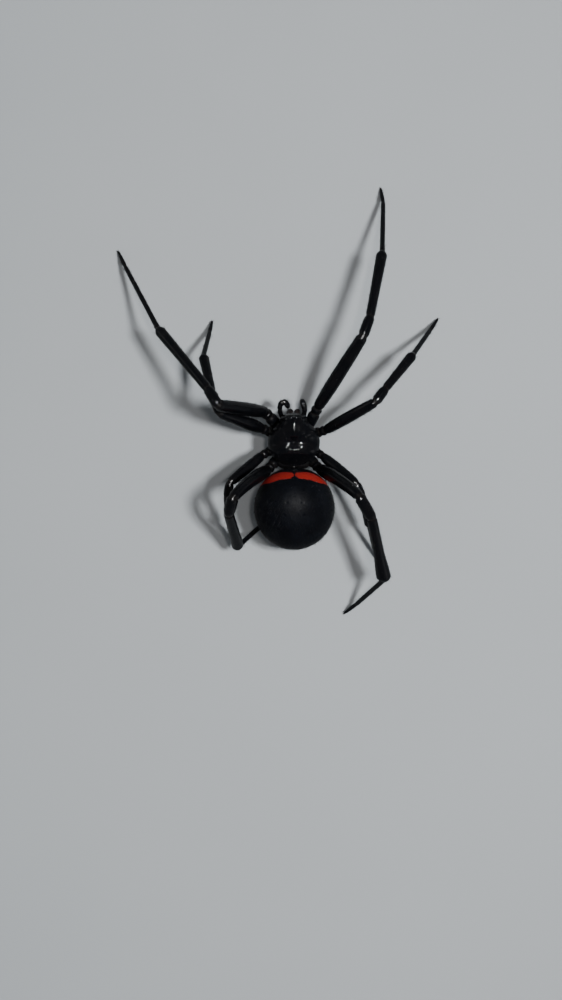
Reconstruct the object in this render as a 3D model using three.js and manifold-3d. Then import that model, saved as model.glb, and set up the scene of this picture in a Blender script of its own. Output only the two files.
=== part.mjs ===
// A female black widow spider at life size, standing on its eight feet in one walking pose.
// Millimetres. +Z is up, the head points to -Y and the spider's own left side is +X.
// Every sub-part is one closed solid, set a small gap from the one that it grows from.
import * as THREE from 'three';
import { mergeVertices } from 'three/addons/utils/BufferGeometryUtils.js';
import Module from 'manifold-3d';

const wasm = await Module();
wasm.setup();

// Driving dimensions: gaps and facets
const GAP = 0.3;
const EYE_GAP = 0.05;
const LIMB_SIDES = 10;
const BODY_SIDES = 36;
const ABDOMEN_RINGS = 22;
const MERGE_WITHIN = 1e-5;
const CUT_REACH = 60;

// Driving dimensions: carapace, the upper shield of the front body
const CARAPACE_FRONT_Y = -4.15;
const CARAPACE_REAR_Y = -0.12;
const CARAPACE_HALF_WIDTH = 2.08;
const CARAPACE_EDGE_Z = 3.5;
const CARAPACE_TOP_Z = 4.85;
const HEAD_CENTRE = new THREE.Vector3(0, -3.3, 3.75);
const CORE_CENTRE = new THREE.Vector3(0, -2.05, 2.8);
const CORE_RADII = new THREE.Vector3(0.5, 1.35, 0.62);

// Half width of the front body, as a share of its widest, from its front at 0 to its rear at 1
const CARAPACE_WIDTH_SHARE = [
  [0, 0.36], [0.03, 0.45], [0.08, 0.515], [0.13, 0.55], [0.17, 0.61], [0.21, 0.69],
  [0.28, 0.8], [0.36, 0.9], [0.46, 0.98], [0.56, 1], [0.66, 0.98], [0.76, 0.92],
  [0.85, 0.81], [0.92, 0.67], [0.97, 0.51], [1, 0.38],
];

// Height of its top over its edge, as a share of the highest
const CARAPACE_TOP_SHARE = [
  [0, 0.34], [0.03, 0.62], [0.08, 0.84], [0.13, 0.94], [0.21, 1], [0.3, 0.99], [0.4, 0.9],
  [0.5, 0.77], [0.57, 0.71], [0.66, 0.72], [0.74, 0.67], [0.83, 0.53], [0.92, 0.33], [1, 0.12],
];
const CARAPACE_BOTTOM_DEPTH = 0.3;
const CARAPACE_POLE_OUT = 0.03;

// Driving dimensions: the plate between the leg roots, and the mouth plates in front of it
const STERNUM_CENTRE = new THREE.Vector3(0, -2.1, 1.62);
const STERNUM_RADII = new THREE.Vector3(0.85, 1.15, 0.26);
const STERNUM_TAPER = 0.28;
const MOUTH_PLATE_CENTRE = new THREE.Vector3(0.25, -3.34, 1.78);
const MOUTH_PLATE_RADII = new THREE.Vector3(0.2, 0.34, 0.24);

// Driving dimensions: abdomen, almost a ball, a little longer than wide
const ABDOMEN_CENTRE = new THREE.Vector3(-0.04, 3.43, 3.95);
const ABDOMEN_HALF_WIDTH = 3.22;
const ABDOMEN_HALF_LENGTH = 3.29;
const ABDOMEN_HALF_HEIGHT = 3.05;
const ABDOMEN_TILT = 0.2;
const ABDOMEN_POINT = 0.08;
const ABDOMEN_POINT_SPREAD = 0.5;
const SPINNERET_DIRECTION = new THREE.Vector3(0, 0.72, -0.69).normalize();

// Driving dimensions: eyes, in four pairs on the front of the head
const EYE_RADIUS = 0.11;
const EYE_SINK = 0.035;
const EYE_SIDES = 10;
const EYE_RINGS = 6;
const EYE_PAIRS = {
  front_middle: { side: 17, rise: 37 },
  front_side: { side: 46, rise: 31 },
  rear_middle: { side: 22, rise: 61 },
  rear_side: { side: 57, rise: 48 },
};

// Driving dimensions: half thickness along each length of a leg, as [place along it, radius]
const FEMUR = [[0, 0.4], [0.12, 0.47], [0.38, 0.53], [0.75, 0.5], [1, 0.43]];
const PATELLA = [[0, 0.42], [0.5, 0.43], [1, 0.39]];
const TIBIA = [[0, 0.37], [0.3, 0.38], [0.8, 0.43], [0.94, 0.44], [1, 0.36]];
const FOOT = [[0, 0.28], [0.12, 0.24], [0.7, 0.23], [0.79, 0.2], [1, 0.17]];
const FOOT_TENSION = 0.15;
const FLARE_FROM = 0.5;
const COXA = [[0, 0.36], [0.4, 0.46], [0.62, 0.47], [0.72, 0.42], [0.86, 0.45], [1, 0.42]];

// Driving dimensions: each leg's joints, how far its femur bows out of a straight line, and its
// thickness beside the front leg's, for the femur and coxa (girth), for the lengths below the
// knee (shank) and for the lower end of the tibia (flare)
const LEGS = {
  left_1: {
    girth: 1.06,
    shank: 1.05,
    flare: 1,
    bow: [0, 0, 0.25],
    root: [1.08, -3.05, 2.2],
    hip: [2.32, -4.34, 3.2],
    knee: [5.92, -4.61, 8.6],
    shin: [6.76, -5.97, 8.2],
    heel: [10.77, -10.83, 5.2],
    ankle: [13.73, -16.29, 1.1],
    tip: [14.4, -17.68, 0],
  },
  left_2: {
    girth: 0.92,
    shank: 0.97,
    flare: 1,
    bow: [0, 0, 0.2],
    root: [1.1, -2.45, 2.15],
    hip: [2.56, -3.02, 3.1],
    knee: [5.84, -4.1, 6.3],
    shin: [6.5, -5.79, 5.9],
    heel: [7.25, -8.79, 3.9],
    ankle: [6.86, -10.92, 1],
    tip: [6.68, -11.91, 0],
  },
  left_3: {
    girth: 0.84,
    shank: 0.86,
    flare: 1,
    bow: [0, 0, 0],
    root: [1.1, -1.7, 2.15],
    hip: [2.56, -0.85, 2.9],
    knee: [5.09, 1.34, 4.7],
    shin: [5.33, 2.47, 4.4],
    heel: [5.1, 4.59, 2.9],
    ankle: [4.79, 6.01, 0.8],
    tip: [4.64, 6.52, 0],
  },
  left_4: {
    girth: 0.98,
    shank: 1.15,
    flare: 1,
    bow: [0.13, -0.13, 0.5],
    root: [0.92, -1.02, 2.2],
    hip: [2.12, 0.29, 3.15],
    knee: [4.77, 2.54, 8],
    shin: [5.14, 3.8, 7],
    heel: [4.51, 6.51, 2.4],
    ankle: [1.96, 4.19, 0.6],
    tip: [0.95, 3.31, 0],
  },
  right_1: {
    girth: 1.04,
    shank: 1.03,
    flare: 1,
    bow: [0, 0, 0.25],
    root: [-1.08, -3.05, 2.2],
    hip: [-1.94, -4.74, 3.2],
    knee: [-5.4, -10.12, 7],
    shin: [-5.97, -11.68, 6.7],
    heel: [-7.03, -17, 4.8],
    ankle: [-7.31, -21.54, 1],
    tip: [-7.15, -22.82, 0],
  },
  right_2: {
    girth: 0.92,
    shank: 0.97,
    flare: 1,
    bow: [0, 0, 0.2],
    root: [-1.1, -2.45, 2.15],
    hip: [-2.59, -2.9, 3.1],
    knee: [-6.41, -4.98, 6.3],
    shin: [-7.22, -6.06, 6],
    heel: [-9.51, -8.88, 4.3],
    ankle: [-11.12, -11.08, 1.1],
    tip: [-11.83, -12.11, 0],
  },
  right_3: {
    girth: 0.84,
    shank: 0.86,
    flare: 1,
    bow: [0, 0, 0],
    root: [-1.1, -1.7, 2.15],
    hip: [-2.31, -0.81, 2.85],
    knee: [-4.97, 1.43, 4.7],
    shin: [-5.45, 2.5, 4.4],
    heel: [-6.09, 4.83, 3.1],
    ankle: [-6.6, 6.74, 0.9],
    tip: [-6.8, 7.54, 0],
  },
  right_4: {
    girth: 0.98,
    shank: 1.12,
    flare: 1.25,
    bow: [-0.13, -0.13, 0.5],
    root: [-0.92, -1.02, 2.2],
    hip: [-2.03, 0.17, 3.2],
    knee: [-5.06, 2.45, 8],
    shin: [-6.08, 4.15, 7.4],
    heel: [-7.19, 9.07, 4.7],
    ankle: [-5.12, 11.22, 1.15],
    tip: [-4.16, 12.04, 0],
  },
};

// Driving dimensions: the waist, which runs a little way into both halves before it is cut
const PEDICEL_FROM = [0, -1, 2.95];
const PEDICEL_TO = [0, 1.2, 3.05];
const PEDICEL_RADIUS = 0.34;

// Driving dimensions: feelers and jaws
const PALP_RADII = [[0, 0.17], [0.4, 0.18], [0.68, 0.24], [0.9, 0.22], [1, 0.15]];
const PALPS = {
  left: [
    [0.8, -3.72, 2.6], [0.99, -4.04, 2.82], [1.11, -4.46, 3.16], [1.09, -4.84, 3.44],
    [0.93, -5.08, 3.58], [0.7, -5.1, 3.6], [0.52, -4.88, 3.48], [0.47, -4.64, 3.3],
  ],
  right: [
    [-0.8, -3.72, 2.6], [-0.8, -4.04, 2.82], [-0.87, -4.45, 3.15], [-0.83, -4.76, 3.34],
    [-0.75, -5.02, 3.4], [-0.69, -5.18, 3.22], [-0.64, -5.2, 2.98],
  ],
};
const JAW_RADII = [[0, 0.22], [0.35, 0.28], [0.8, 0.27], [1, 0.2]];
const JAW_GAP = 0.12;
const JAW_TOP = [0.28, -3.86, 2.75];
const JAW_TIP = [0.27, -4.5, 1.77];
const FANG_TIP = [0.1, -4.34, 1.36];
const FANG_RADII = [[0, 0.1], [1, 0.04]];
const PALP_STEPS = 10;
const PALP_GAP = 0.15;

// Driving dimensions: spinnerets
const SPINNERET_LENGTH = 0.62;
const SPINNERET_PAIRS = {
  front: { side: 0.14, back: -0.1, radius: 0.25 },
  rear: { side: 0.13, back: 0.18, radius: 0.22 },
};
const SPINNERET_LEAN = new THREE.Vector3(0, 0.35, -1).normalize();
const SPINNERET_TAPER = 0.6;

// Finishes
const GLOSS_BLACK = new THREE.MeshStandardMaterial({ color: 0x0b0a0c, roughness: 0.22, metalness: 0 });
const SATIN_BLACK = new THREE.MeshStandardMaterial({ color: 0x121014, roughness: 0.45, metalness: 0 });
const BROWN_BLACK = new THREE.MeshStandardMaterial({ color: 0x2a1512, roughness: 0.35, metalness: 0 });
const EYE_BLACK = new THREE.MeshStandardMaterial({ color: 0x050505, roughness: 0.05, metalness: 0 });

// Turn a closed geometry into a solid for joining and cutting
function toSolid(geometry) {
  const bare = geometry.clone();
  bare.deleteAttribute('normal');
  bare.deleteAttribute('uv');
  const merged = mergeVertices(bare.index ? bare.toNonIndexed() : bare, MERGE_WITHIN);
  return new wasm.Manifold(new wasm.Mesh({
    numProp: 3,
    vertProperties: Float32Array.from(merged.attributes.position.array),
    triVerts: Uint32Array.from(merged.index.array),
  }));
}

// Turn a solid back into a geometry, keeping its largest closed surface
function toGeometry(solid) {
  const pieces = solid.decompose();
  const largest = pieces.reduce((best, piece) => (piece.volume() > best.volume() ? piece : best));
  const mesh = largest.getMesh();
  const geometry = new THREE.BufferGeometry();
  const places = Float32Array.from(mesh.vertProperties);
  geometry.setAttribute('position', new THREE.BufferAttribute(places, 3));
  geometry.setIndex(new THREE.BufferAttribute(Uint32Array.from(mesh.triVerts), 1));
  const faceted = geometry.toNonIndexed();
  faceted.computeVertexNormals();
  return faceted;
}

// A closed skin over rings of points that lie between a first and a last pole
function ringSurface(firstPole, rings, lastPole) {
  const sides = rings[0].length;
  const points = [firstPole, ...rings.flat(), lastPole];
  const index = [];
  const at = (ring, side) => 1 + ring * sides + (side % sides);
  for (let side = 0; side < sides; side += 1) {
    index.push(0, at(0, side + 1), at(0, side));
    for (let ring = 0; ring + 1 < rings.length; ring += 1) {
      index.push(at(ring, side), at(ring, side + 1), at(ring + 1, side));
      index.push(at(ring, side + 1), at(ring + 1, side + 1), at(ring + 1, side));
    }
    index.push(points.length - 1, at(rings.length - 1, side), at(rings.length - 1, side + 1));
  }
  const geometry = new THREE.BufferGeometry();
  const places = points.flatMap((place) => place.toArray());
  geometry.setAttribute('position', new THREE.Float32BufferAttribute(places, 3));
  geometry.setIndex(index);
  return geometry;
}

// Radius at a place between 0 and 1 along a list of [place, radius] pairs
function radiusAt(profile, place) {
  const next = profile.findIndex(([at]) => at >= place);
  if (next <= 0) {
    return profile[Math.max(next, 0)][1];
  }
  const [fromAt, fromRadius] = profile[next - 1];
  const [toAt, toRadius] = profile[next];
  return THREE.MathUtils.mapLinear(place, fromAt, toAt, fromRadius, toRadius);
}

// The same profile, thicker or thinner, with its far part flared
function thickened(profile, girth, flare = 1) {
  return profile.map(([place, radius]) => {
    const share = THREE.MathUtils.smoothstep(place, FLARE_FROM, 1);
    return [place, radius * girth * THREE.MathUtils.lerp(1, flare, share)];
  });
}

// A round limb along a line or curve, with a dome at each end
function limb(curve, profile, places = profile.map(([place]) => place)) {
  const stations = places.map((place) => ({
    centre: curve.getPointAt(place),
    along: curve.getTangentAt(place),
    radius: radiusAt(profile, place),
  }));
  const first = stations[0];
  const last = stations[stations.length - 1];
  const domeRing = (end, sign) => ({
    centre: end.centre.clone().addScaledVector(end.along, sign * end.radius * Math.SQRT1_2),
    along: end.along,
    radius: end.radius * Math.SQRT1_2,
  });
  const all = [domeRing(first, -1), ...stations, domeRing(last, 1)];
  const across = new THREE.Vector3(0, 0, 1).cross(first.along).normalize();
  const rings = all.map(({ centre, along, radius }) => {
    across.addScaledVector(along, -across.dot(along)).normalize();
    const up = along.clone().cross(across);
    return Array.from({ length: LIMB_SIDES }, (_, side) => {
      const turn = (2 * Math.PI * side) / LIMB_SIDES;
      return centre.clone()
        .addScaledVector(across, radius * Math.cos(turn))
        .addScaledVector(up, radius * Math.sin(turn));
    });
  });
  return ringSurface(
    first.centre.clone().addScaledVector(first.along, -first.radius),
    rings,
    last.centre.clone().addScaledVector(last.along, last.radius),
  );
}

const point = (place) => new THREE.Vector3(...place);
const straight = (from, to) => new THREE.LineCurve3(point(from), point(to));

// A line from one place to another, bowed by an offset at its middle
function bowed(from, to, offset) {
  const control = point(from).lerp(point(to), 0.5).addScaledVector(point(offset), 2);
  return new THREE.QuadraticBezierCurve3(point(from), control, point(to));
}

// An ellipsoid, as the sphere that it is stretched from
function ellipsoid(centre, radii, widthSegments = 16, heightSegments = 10) {
  return new THREE.SphereGeometry(1, widthSegments, heightSegments)
    .scale(radii.x, radii.y, radii.z)
    .translate(centre.x, centre.y, centre.z);
}

// All that lies beyond a plane, as far as the spider reaches
function beyond(through, direction) {
  const block = new THREE.BoxGeometry(CUT_REACH, CUT_REACH, CUT_REACH);
  block.translate(0, 0, CUT_REACH / 2);
  const turn = new THREE.Quaternion().setFromUnitVectors(new THREE.Vector3(0, 0, 1), direction);
  block.applyQuaternion(turn).translate(through.x, through.y, through.z);
  return toSolid(block);
}

// Cut two neighbouring lengths apart on the plane that halves the bend between them
function partAt(joint, alongFirst, alongSecond) {
  const normal = alongFirst.clone().add(alongSecond).normalize();
  const half = GAP / 2;
  return {
    endOfFirst: beyond(joint.clone().addScaledVector(normal, -half), normal),
    startOfSecond: beyond(joint.clone().addScaledVector(normal, half), normal.clone().negate()),
  };
}

const model = new THREE.Group();

function addPart(name, solid, material) {
  const mesh = new THREE.Mesh(toGeometry(solid), material);
  mesh.name = name;
  model.add(mesh);
}

// The front body: the domed shield with its narrower head, and the core that the legs ring
function frontBody(margin = 0) {
  const length = CARAPACE_REAR_Y - CARAPACE_FRONT_Y + 2 * margin;
  const rings = CARAPACE_WIDTH_SHARE.map(([place, share]) => {
    const y = CARAPACE_FRONT_Y - margin + place * length;
    const halfWidth = share * CARAPACE_HALF_WIDTH + margin;
    const rise = radiusAt(CARAPACE_TOP_SHARE, place) * (CARAPACE_TOP_Z - CARAPACE_EDGE_Z) + margin;
    return Array.from({ length: BODY_SIDES }, (_, side) => {
      const turn = (2 * Math.PI * side) / BODY_SIDES;
      const height = Math.sin(turn);
      const lift = height > 0 ? rise * height : (CARAPACE_BOTTOM_DEPTH + margin) * height;
      return new THREE.Vector3(-halfWidth * Math.cos(turn), y, CARAPACE_EDGE_Z + lift);
    });
  });
  const poleAt = (y, sign) => new THREE.Vector3(0, y + sign * CARAPACE_POLE_OUT, CARAPACE_EDGE_Z);
  const shield = ringSurface(
    poleAt(CARAPACE_FRONT_Y - margin, -1),
    rings,
    poleAt(CARAPACE_REAR_Y + margin, 1),
  );
  const core = ellipsoid(CORE_CENTRE, CORE_RADII.clone().addScalar(margin));
  return toSolid(shield).add(toSolid(core));
}

// The abdomen: nearly a ball, higher in front, drawn out a little towards the spinnerets
function abdomen(margin = 0) {
  const drawOut = (place) => {
    const outward = place.clone().sub(ABDOMEN_CENTRE);
    const away = outward.angleTo(SPINNERET_DIRECTION) / ABDOMEN_POINT_SPREAD;
    return place.addScaledVector(outward, ABDOMEN_POINT * Math.exp(-away * away));
  };
  const placeAt = (turn, around) => drawOut(new THREE.Vector3(
    ABDOMEN_CENTRE.x - (ABDOMEN_HALF_WIDTH + margin) * Math.sin(turn) * Math.cos(around),
    ABDOMEN_CENTRE.y - (ABDOMEN_HALF_LENGTH + margin) * Math.cos(turn),
    ABDOMEN_CENTRE.z + ABDOMEN_TILT * Math.sin(2 * turn)
      + (ABDOMEN_HALF_HEIGHT + margin) * Math.sin(turn) * Math.sin(around),
  ));
  const rings = Array.from({ length: ABDOMEN_RINGS - 1 }, (_, ring) => {
    const turn = (Math.PI * (ring + 1)) / ABDOMEN_RINGS;
    return Array.from(
      { length: BODY_SIDES },
      (__, side) => placeAt(turn, (2 * Math.PI * side) / BODY_SIDES),
    );
  });
  return toSolid(ringSurface(placeAt(0, 0), rings, placeAt(Math.PI, 0)));
}

// The plate between the leg roots, narrower behind, with the two mouth plates at its front
function sternum(margin = 0) {
  const plate = ellipsoid(STERNUM_CENTRE, STERNUM_RADII.clone().addScalar(margin));
  const places = plate.attributes.position;
  for (let at = 0; at < places.count; at += 1) {
    const back = (places.getY(at) - STERNUM_CENTRE.y) / STERNUM_RADII.y;
    places.setX(at, places.getX(at) * (1 - STERNUM_TAPER * back));
  }
  const mouthPlate = (sign) => toSolid(ellipsoid(
    MOUTH_PLATE_CENTRE.clone().multiply(new THREE.Vector3(sign, 1, 1)),
    MOUTH_PLATE_RADII.clone().addScalar(margin),
  ));
  return toSolid(plate).add(mouthPlate(1)).add(mouthPlate(-1));
}

const frontBodyClearance = frontBody(GAP);
const abdomenClearance = abdomen(GAP);
const sternumClearance = sternum(GAP);

// A surface that a ray can meet from its inside
function surfaceOf(solid) {
  return new THREE.Mesh(toGeometry(solid), new THREE.MeshBasicMaterial({ side: THREE.DoubleSide }));
}

// Eyes, each sunk a little into the head where a ray from the head's centre comes out
function eyeCentre(surface, side, rise) {
  const turn = THREE.MathUtils.degToRad(side);
  const lift = THREE.MathUtils.degToRad(rise);
  const outward = new THREE.Vector3(
    Math.sin(turn) * Math.cos(lift),
    -Math.cos(turn) * Math.cos(lift),
    Math.sin(lift),
  );
  const [hit] = new THREE.Raycaster(HEAD_CENTRE, outward).intersectObject(surface);
  return hit.point.addScaledVector(outward, -EYE_SINK);
}

function buildFrontBodyAndEyes() {
  let body = frontBody();
  const surface = surfaceOf(body);
  const eyes = [];
  for (const [row, { side, rise }] of Object.entries(EYE_PAIRS)) {
    for (const [hand, sign] of [['left', 1], ['right', -1]]) {
      const centre = eyeCentre(surface, sign * side, rise);
      const sized = (radius) => toSolid(
        ellipsoid(centre, new THREE.Vector3().setScalar(radius), EYE_SIDES, EYE_RINGS),
      );
      body = body.subtract(sized(EYE_RADIUS + EYE_GAP));
      eyes.push([`eye_${row}_${hand}`, sized(EYE_RADIUS)]);
    }
  }
  addPart('cephalothorax', body, GLOSS_BLACK);
  for (const [name, solid] of eyes) addPart(name, solid, EYE_BLACK);
}

// A jaw with its fang folded towards the middle
function buildJaw(hand) {
  const sign = hand === 'left' ? 1 : -1;
  const onSide = ([x, y, z]) => [sign * x, y, z];
  const jaw = toSolid(limb(straight(onSide(JAW_TOP), onSide(JAW_TIP)), JAW_RADII));
  const fang = toSolid(limb(straight(onSide(JAW_TIP), onSide(FANG_TIP)), FANG_RADII));
  const inward = new THREE.Vector3(-sign, 0, 0);
  const otherSide = beyond(inward.clone().multiplyScalar(-JAW_GAP / 2), inward);
  const whole = jaw.add(fang).subtract(frontBodyClearance).subtract(otherSide);
  addPart(`chelicera_${hand}`, whole, BROWN_BLACK);
}

// A feeler that arches forwards and curls back in front of the face
function palp(hand, margin = 0) {
  const curve = new THREE.CatmullRomCurve3(PALPS[hand].map(point));
  const places = Array.from({ length: PALP_STEPS + 1 }, (_, step) => step / PALP_STEPS);
  const profile = PALP_RADII.map(([place, radius]) => [place, radius + margin]);
  return toSolid(limb(curve, profile, places)).subtract(frontBodyClearance);
}

// The waist between the two body halves
function buildPedicel() {
  const profile = [[0, PEDICEL_RADIUS], [1, PEDICEL_RADIUS]];
  const waist = toSolid(limb(straight(PEDICEL_FROM, PEDICEL_TO), profile));
  addPart('pedicel', waist.subtract(frontBodyClearance).subtract(abdomenClearance), BROWN_BLACK);
}

// Four short spinning tubes at the lower rear of the abdomen
function buildSpinnerets() {
  const ray = new THREE.Raycaster(ABDOMEN_CENTRE, SPINNERET_DIRECTION);
  const [hit] = ray.intersectObject(surfaceOf(abdomen()));
  const tubes = [];
  for (const { side, back, radius } of Object.values(SPINNERET_PAIRS)) {
    for (const sign of [1, -1]) {
      const aside = new THREE.Vector3(sign * side, back, -back * SPINNERET_DIRECTION.z);
      const root = hit.point.clone().add(aside);
      const tip = root.clone().addScaledVector(SPINNERET_LEAN, SPINNERET_LENGTH);
      const profile = [[0, radius], [1, radius * SPINNERET_TAPER]];
      tubes.push(toSolid(limb(new THREE.LineCurve3(root, tip), profile)));
    }
  }
  const cluster = tubes.reduce((joined, tube) => joined.add(tube));
  addPart('spinnerets', cluster.subtract(abdomenClearance), BROWN_BLACK);
}

// The upright plane half way between two leg roots and their hips, looking towards the second leg
function planeBetween(first, second) {
  const root = point(first.root).lerp(point(second.root), 0.5);
  const hip = point(first.hip).lerp(point(second.hip), 0.5);
  const towards = hip.clone().sub(root).cross(new THREE.Vector3(0, 0, 1)).normalize();
  if (towards.dot(point(second.hip).sub(hip)) < 0) towards.negate();
  return { through: root, towards };
}

// A leg, from the plate between the leg roots to its foot, as five lengths
function buildLeg(hand, number) {
  const leg = LEGS[`${hand}_${number}`];
  const { girth, shank, flare, bow, root, hip, knee, shin, heel, ankle, tip } = leg;
  const footPlaces = [heel, ankle, tip].map(point);
  const foot = new THREE.CatmullRomCurve3(footPlaces, false, 'catmullrom', FOOT_TENSION);
  const lengths = {
    coxa: [straight(root, hip), thickened(COXA, girth)],
    femur: [bowed(hip, knee, bow), thickened(FEMUR, girth)],
    patella: [straight(knee, shin), thickened(PATELLA, shank)],
    tibia: [straight(shin, heel), thickened(TIBIA, shank, flare)],
    foot: [foot, FOOT],
  };
  const names = Object.keys(lengths);
  const solids = names.map((name) => toSolid(limb(...lengths[name])));
  names.slice(1).forEach((name, place) => {
    const [before] = lengths[names[place]];
    const [after] = lengths[name];
    const cut = partAt(after.getPointAt(0), before.getTangentAt(1), after.getTangentAt(0));
    solids[place] = solids[place].subtract(cut.endOfFirst);
    solids[place + 1] = solids[place + 1].subtract(cut.startOfSecond);
  });
  solids[0] = solids[0]
    .subtract(frontBodyClearance)
    .subtract(sternumClearance)
    .subtract(palp(hand, PALP_GAP));
  for (const neighbour of [number - 1, number + 1]) {
    const other = LEGS[`${hand}_${neighbour}`];
    if (other) {
      const { through, towards } = planeBetween(leg, other);
      solids[0] = solids[0].subtract(beyond(through.addScaledVector(towards, -GAP / 2), towards));
    }
  }
  const floor = beyond(new THREE.Vector3(), new THREE.Vector3(0, 0, -1));
  solids[4] = solids[4].subtract(floor);
  names.forEach((name, place) => {
    const finish = name === 'coxa' ? BROWN_BLACK : GLOSS_BLACK;
    addPart(`leg_${hand}_${number}_${name}`, solids[place], finish);
  });
}

buildFrontBodyAndEyes();
addPart('sternum', sternum(), SATIN_BLACK);
addPart('abdomen', abdomen(), SATIN_BLACK);
buildPedicel();
buildSpinnerets();
for (const hand of ['left', 'right']) {
  buildJaw(hand);
  addPart(`palp_${hand}`, palp(hand), BROWN_BLACK);
  for (const number of [1, 2, 3, 4]) buildLeg(hand, number);
}

// Stand the spider on its feet, with the origin under the middle of its box
const box = new THREE.Box3().setFromObject(model);
const middle = box.getCenter(new THREE.Vector3());
model.position.set(-middle.x, -middle.y, -box.min.z);

export default model;
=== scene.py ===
"""The finished look of a female black widow spider at life size, on a pale floor.

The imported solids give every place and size. Shapes are worked out in the spider's own millimetres
(the head points to -Y, its own left side is +X) and moved into the frame at the end.
"""
import math

import bmesh
import bpy
import numpy as np
from bpy.props import FloatProperty, FloatVectorProperty, IntProperty, PointerProperty
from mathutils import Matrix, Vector


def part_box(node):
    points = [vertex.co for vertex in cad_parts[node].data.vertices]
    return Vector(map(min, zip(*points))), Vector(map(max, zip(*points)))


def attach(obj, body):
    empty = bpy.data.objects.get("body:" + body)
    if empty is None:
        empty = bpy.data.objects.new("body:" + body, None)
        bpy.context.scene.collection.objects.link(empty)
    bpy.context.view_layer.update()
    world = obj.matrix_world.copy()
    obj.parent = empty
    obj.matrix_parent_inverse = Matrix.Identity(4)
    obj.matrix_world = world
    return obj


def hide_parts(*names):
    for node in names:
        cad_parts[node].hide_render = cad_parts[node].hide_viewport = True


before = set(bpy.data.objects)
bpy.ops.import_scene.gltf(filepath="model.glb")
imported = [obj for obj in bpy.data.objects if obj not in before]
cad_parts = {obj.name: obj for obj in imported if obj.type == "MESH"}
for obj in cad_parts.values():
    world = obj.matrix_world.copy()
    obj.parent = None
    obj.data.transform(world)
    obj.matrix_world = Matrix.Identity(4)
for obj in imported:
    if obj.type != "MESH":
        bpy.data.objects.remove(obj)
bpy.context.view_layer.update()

bl_info = {
    "name": "Black widow spider",
    "version": (1, 0, 0),
    "blender": (4, 5, 0),
    "location": "View3D > Sidebar > Spider",
    "description": "Builds the skin, eyes, jaws, claws and bristles of a black widow spider",
    "category": "Object",
}

MM = 0.001

# The spider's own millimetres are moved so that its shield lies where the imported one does
SHIELD_FRONT = -4.18
_shield_low, _shield_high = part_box("cephalothorax")
PLACE = np.array([
    (_shield_low.x + _shield_high.x) / 2 / MM,
    _shield_low.y / MM - SHIELD_FRONT,
    0.0,
])

# The shield: its front and rear, half width, height of its edge and top, and how they change
SHIELD_Y = (-4.15, -0.12)
SHIELD_HALF_WIDTH = 2.06
SHIELD_EDGE_Z = 3.5
SHIELD_TOP_Z = 4.84
SHIELD_UNDER_DEPTH = 0.26
SHIELD_CAP = 0.1
SHIELD_WIDTH = [
    (0, 0.35), (0.03, 0.45), (0.08, 0.515), (0.13, 0.55), (0.17, 0.61), (0.21, 0.69), (0.28, 0.8),
    (0.36, 0.9), (0.46, 0.98), (0.56, 1), (0.66, 0.98), (0.76, 0.92), (0.85, 0.81), (0.92, 0.67),
    (0.97, 0.51), (1, 0.38),
]
SHIELD_RISE = [
    (0, 0.34), (0.03, 0.62), (0.08, 0.85), (0.13, 0.955), (0.21, 1), (0.3, 0.99), (0.38, 0.945),
    (0.45, 0.86), (0.51, 0.76), (0.57, 0.7), (0.64, 0.705), (0.71, 0.72), (0.78, 0.66),
    (0.85, 0.51), (0.93, 0.31), (1, 0.12),
]
SHIELD_GRID = (190, 200)
SHIELD_CAP_SHARES = (0.94, 0.08, 12)
FOVEA = (0.0, -1.86)
NECK_GROOVE = [(0.1, -1.98), (0.42, -2.3), (0.82, -2.72), (1.12, -3.12), (1.2, -3.5)]
GROOVE_FADE = 0.25
NECK_GROOVE_WIDTH = 0.1
SPOKE_GROOVE_WIDTH = 0.09
SPOKE_GROOVES = [
    [(0.2, -1.95), (0.9, -2.2), (1.75, -2.62)],
    [(0.22, -1.82), (1.0, -1.75), (1.95, -1.7)],
    [(0.18, -1.72), (0.7, -1.35), (1.45, -0.85)],
    [(0.06, -1.66), (0.22, -1.2), (0.42, -0.62)],
]

# Eyes look away from the middle of the head and sit on small swellings
HEAD_CENTRE = (0, -3.3, 3.75)
EYE_GRID = (20, 28)
EYE_SHARE = 0.98
EYE_SOCKET = 0.045

# The plate under the front body and the flesh above it
STERNUM_CENTRE = (0.0, -2.1, 1.62)
STERNUM_RADII = (0.85, 1.15, 0.24)
STERNUM_TAPER = 0.28
LIP = ((0, -3.2, 1.64), (0.24, 0.2, 0.16))
MOUTH_PLATE = ((0.27, -3.4, 1.76), (0.19, 0.33, 0.22))
MOUTH_PLATE_LEAN = 0.35
FLANK_CENTRE = (0.0, -2.08, 2.72)
FLANK_RADII = (1.12, 1.62, 0.86)
FLANK_REAR_REACH = 1.46
FLANK_FRONT_REACH = 1.16
FLANK_REAR_BREADTH = 0.45

# The abdomen and the way that its spinnerets point
ABDOMEN_CENTRE = np.array([-0.04, 3.43, 3.95])
ABDOMEN_RADII = (3.2, 3.27, 3.03)
ABDOMEN_TILT = 0.2
ABDOMEN_POINT = 0.08
ABDOMEN_POINT_SPREAD = 0.5
SPINNERET_WAY = np.array([0.0, 0.72, -0.69]) / math.hypot(0.72, 0.69)
BAND_AXIS = np.array([0.0, -1.0, -0.43]) / math.hypot(1.0, 0.43)
ABDOMEN_GRID = (270, 300)
ABDOMEN_SWELL = 0.008
WAIST_WAY = (0.0, -0.94, -0.3)

# The way to the abdomen's fuller front corner on the left, and its spread in degrees
SHOULDER_WAY = (0.68, -0.73, 0.05)
SHOULDER_SPREAD = 28

# Edges of the red band: the angle from its axis at each turn away from its middle, in degrees
BAND_FRONT = [(0, 54), (28, 49), (47, 52.8), (65, 57.5), (80, 61), (92, 63)]
BAND_REAR = [(0, 67.2), (22, 67), (37, 68.8), (57, 65.5), (75, 64), (92, 62)]

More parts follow.
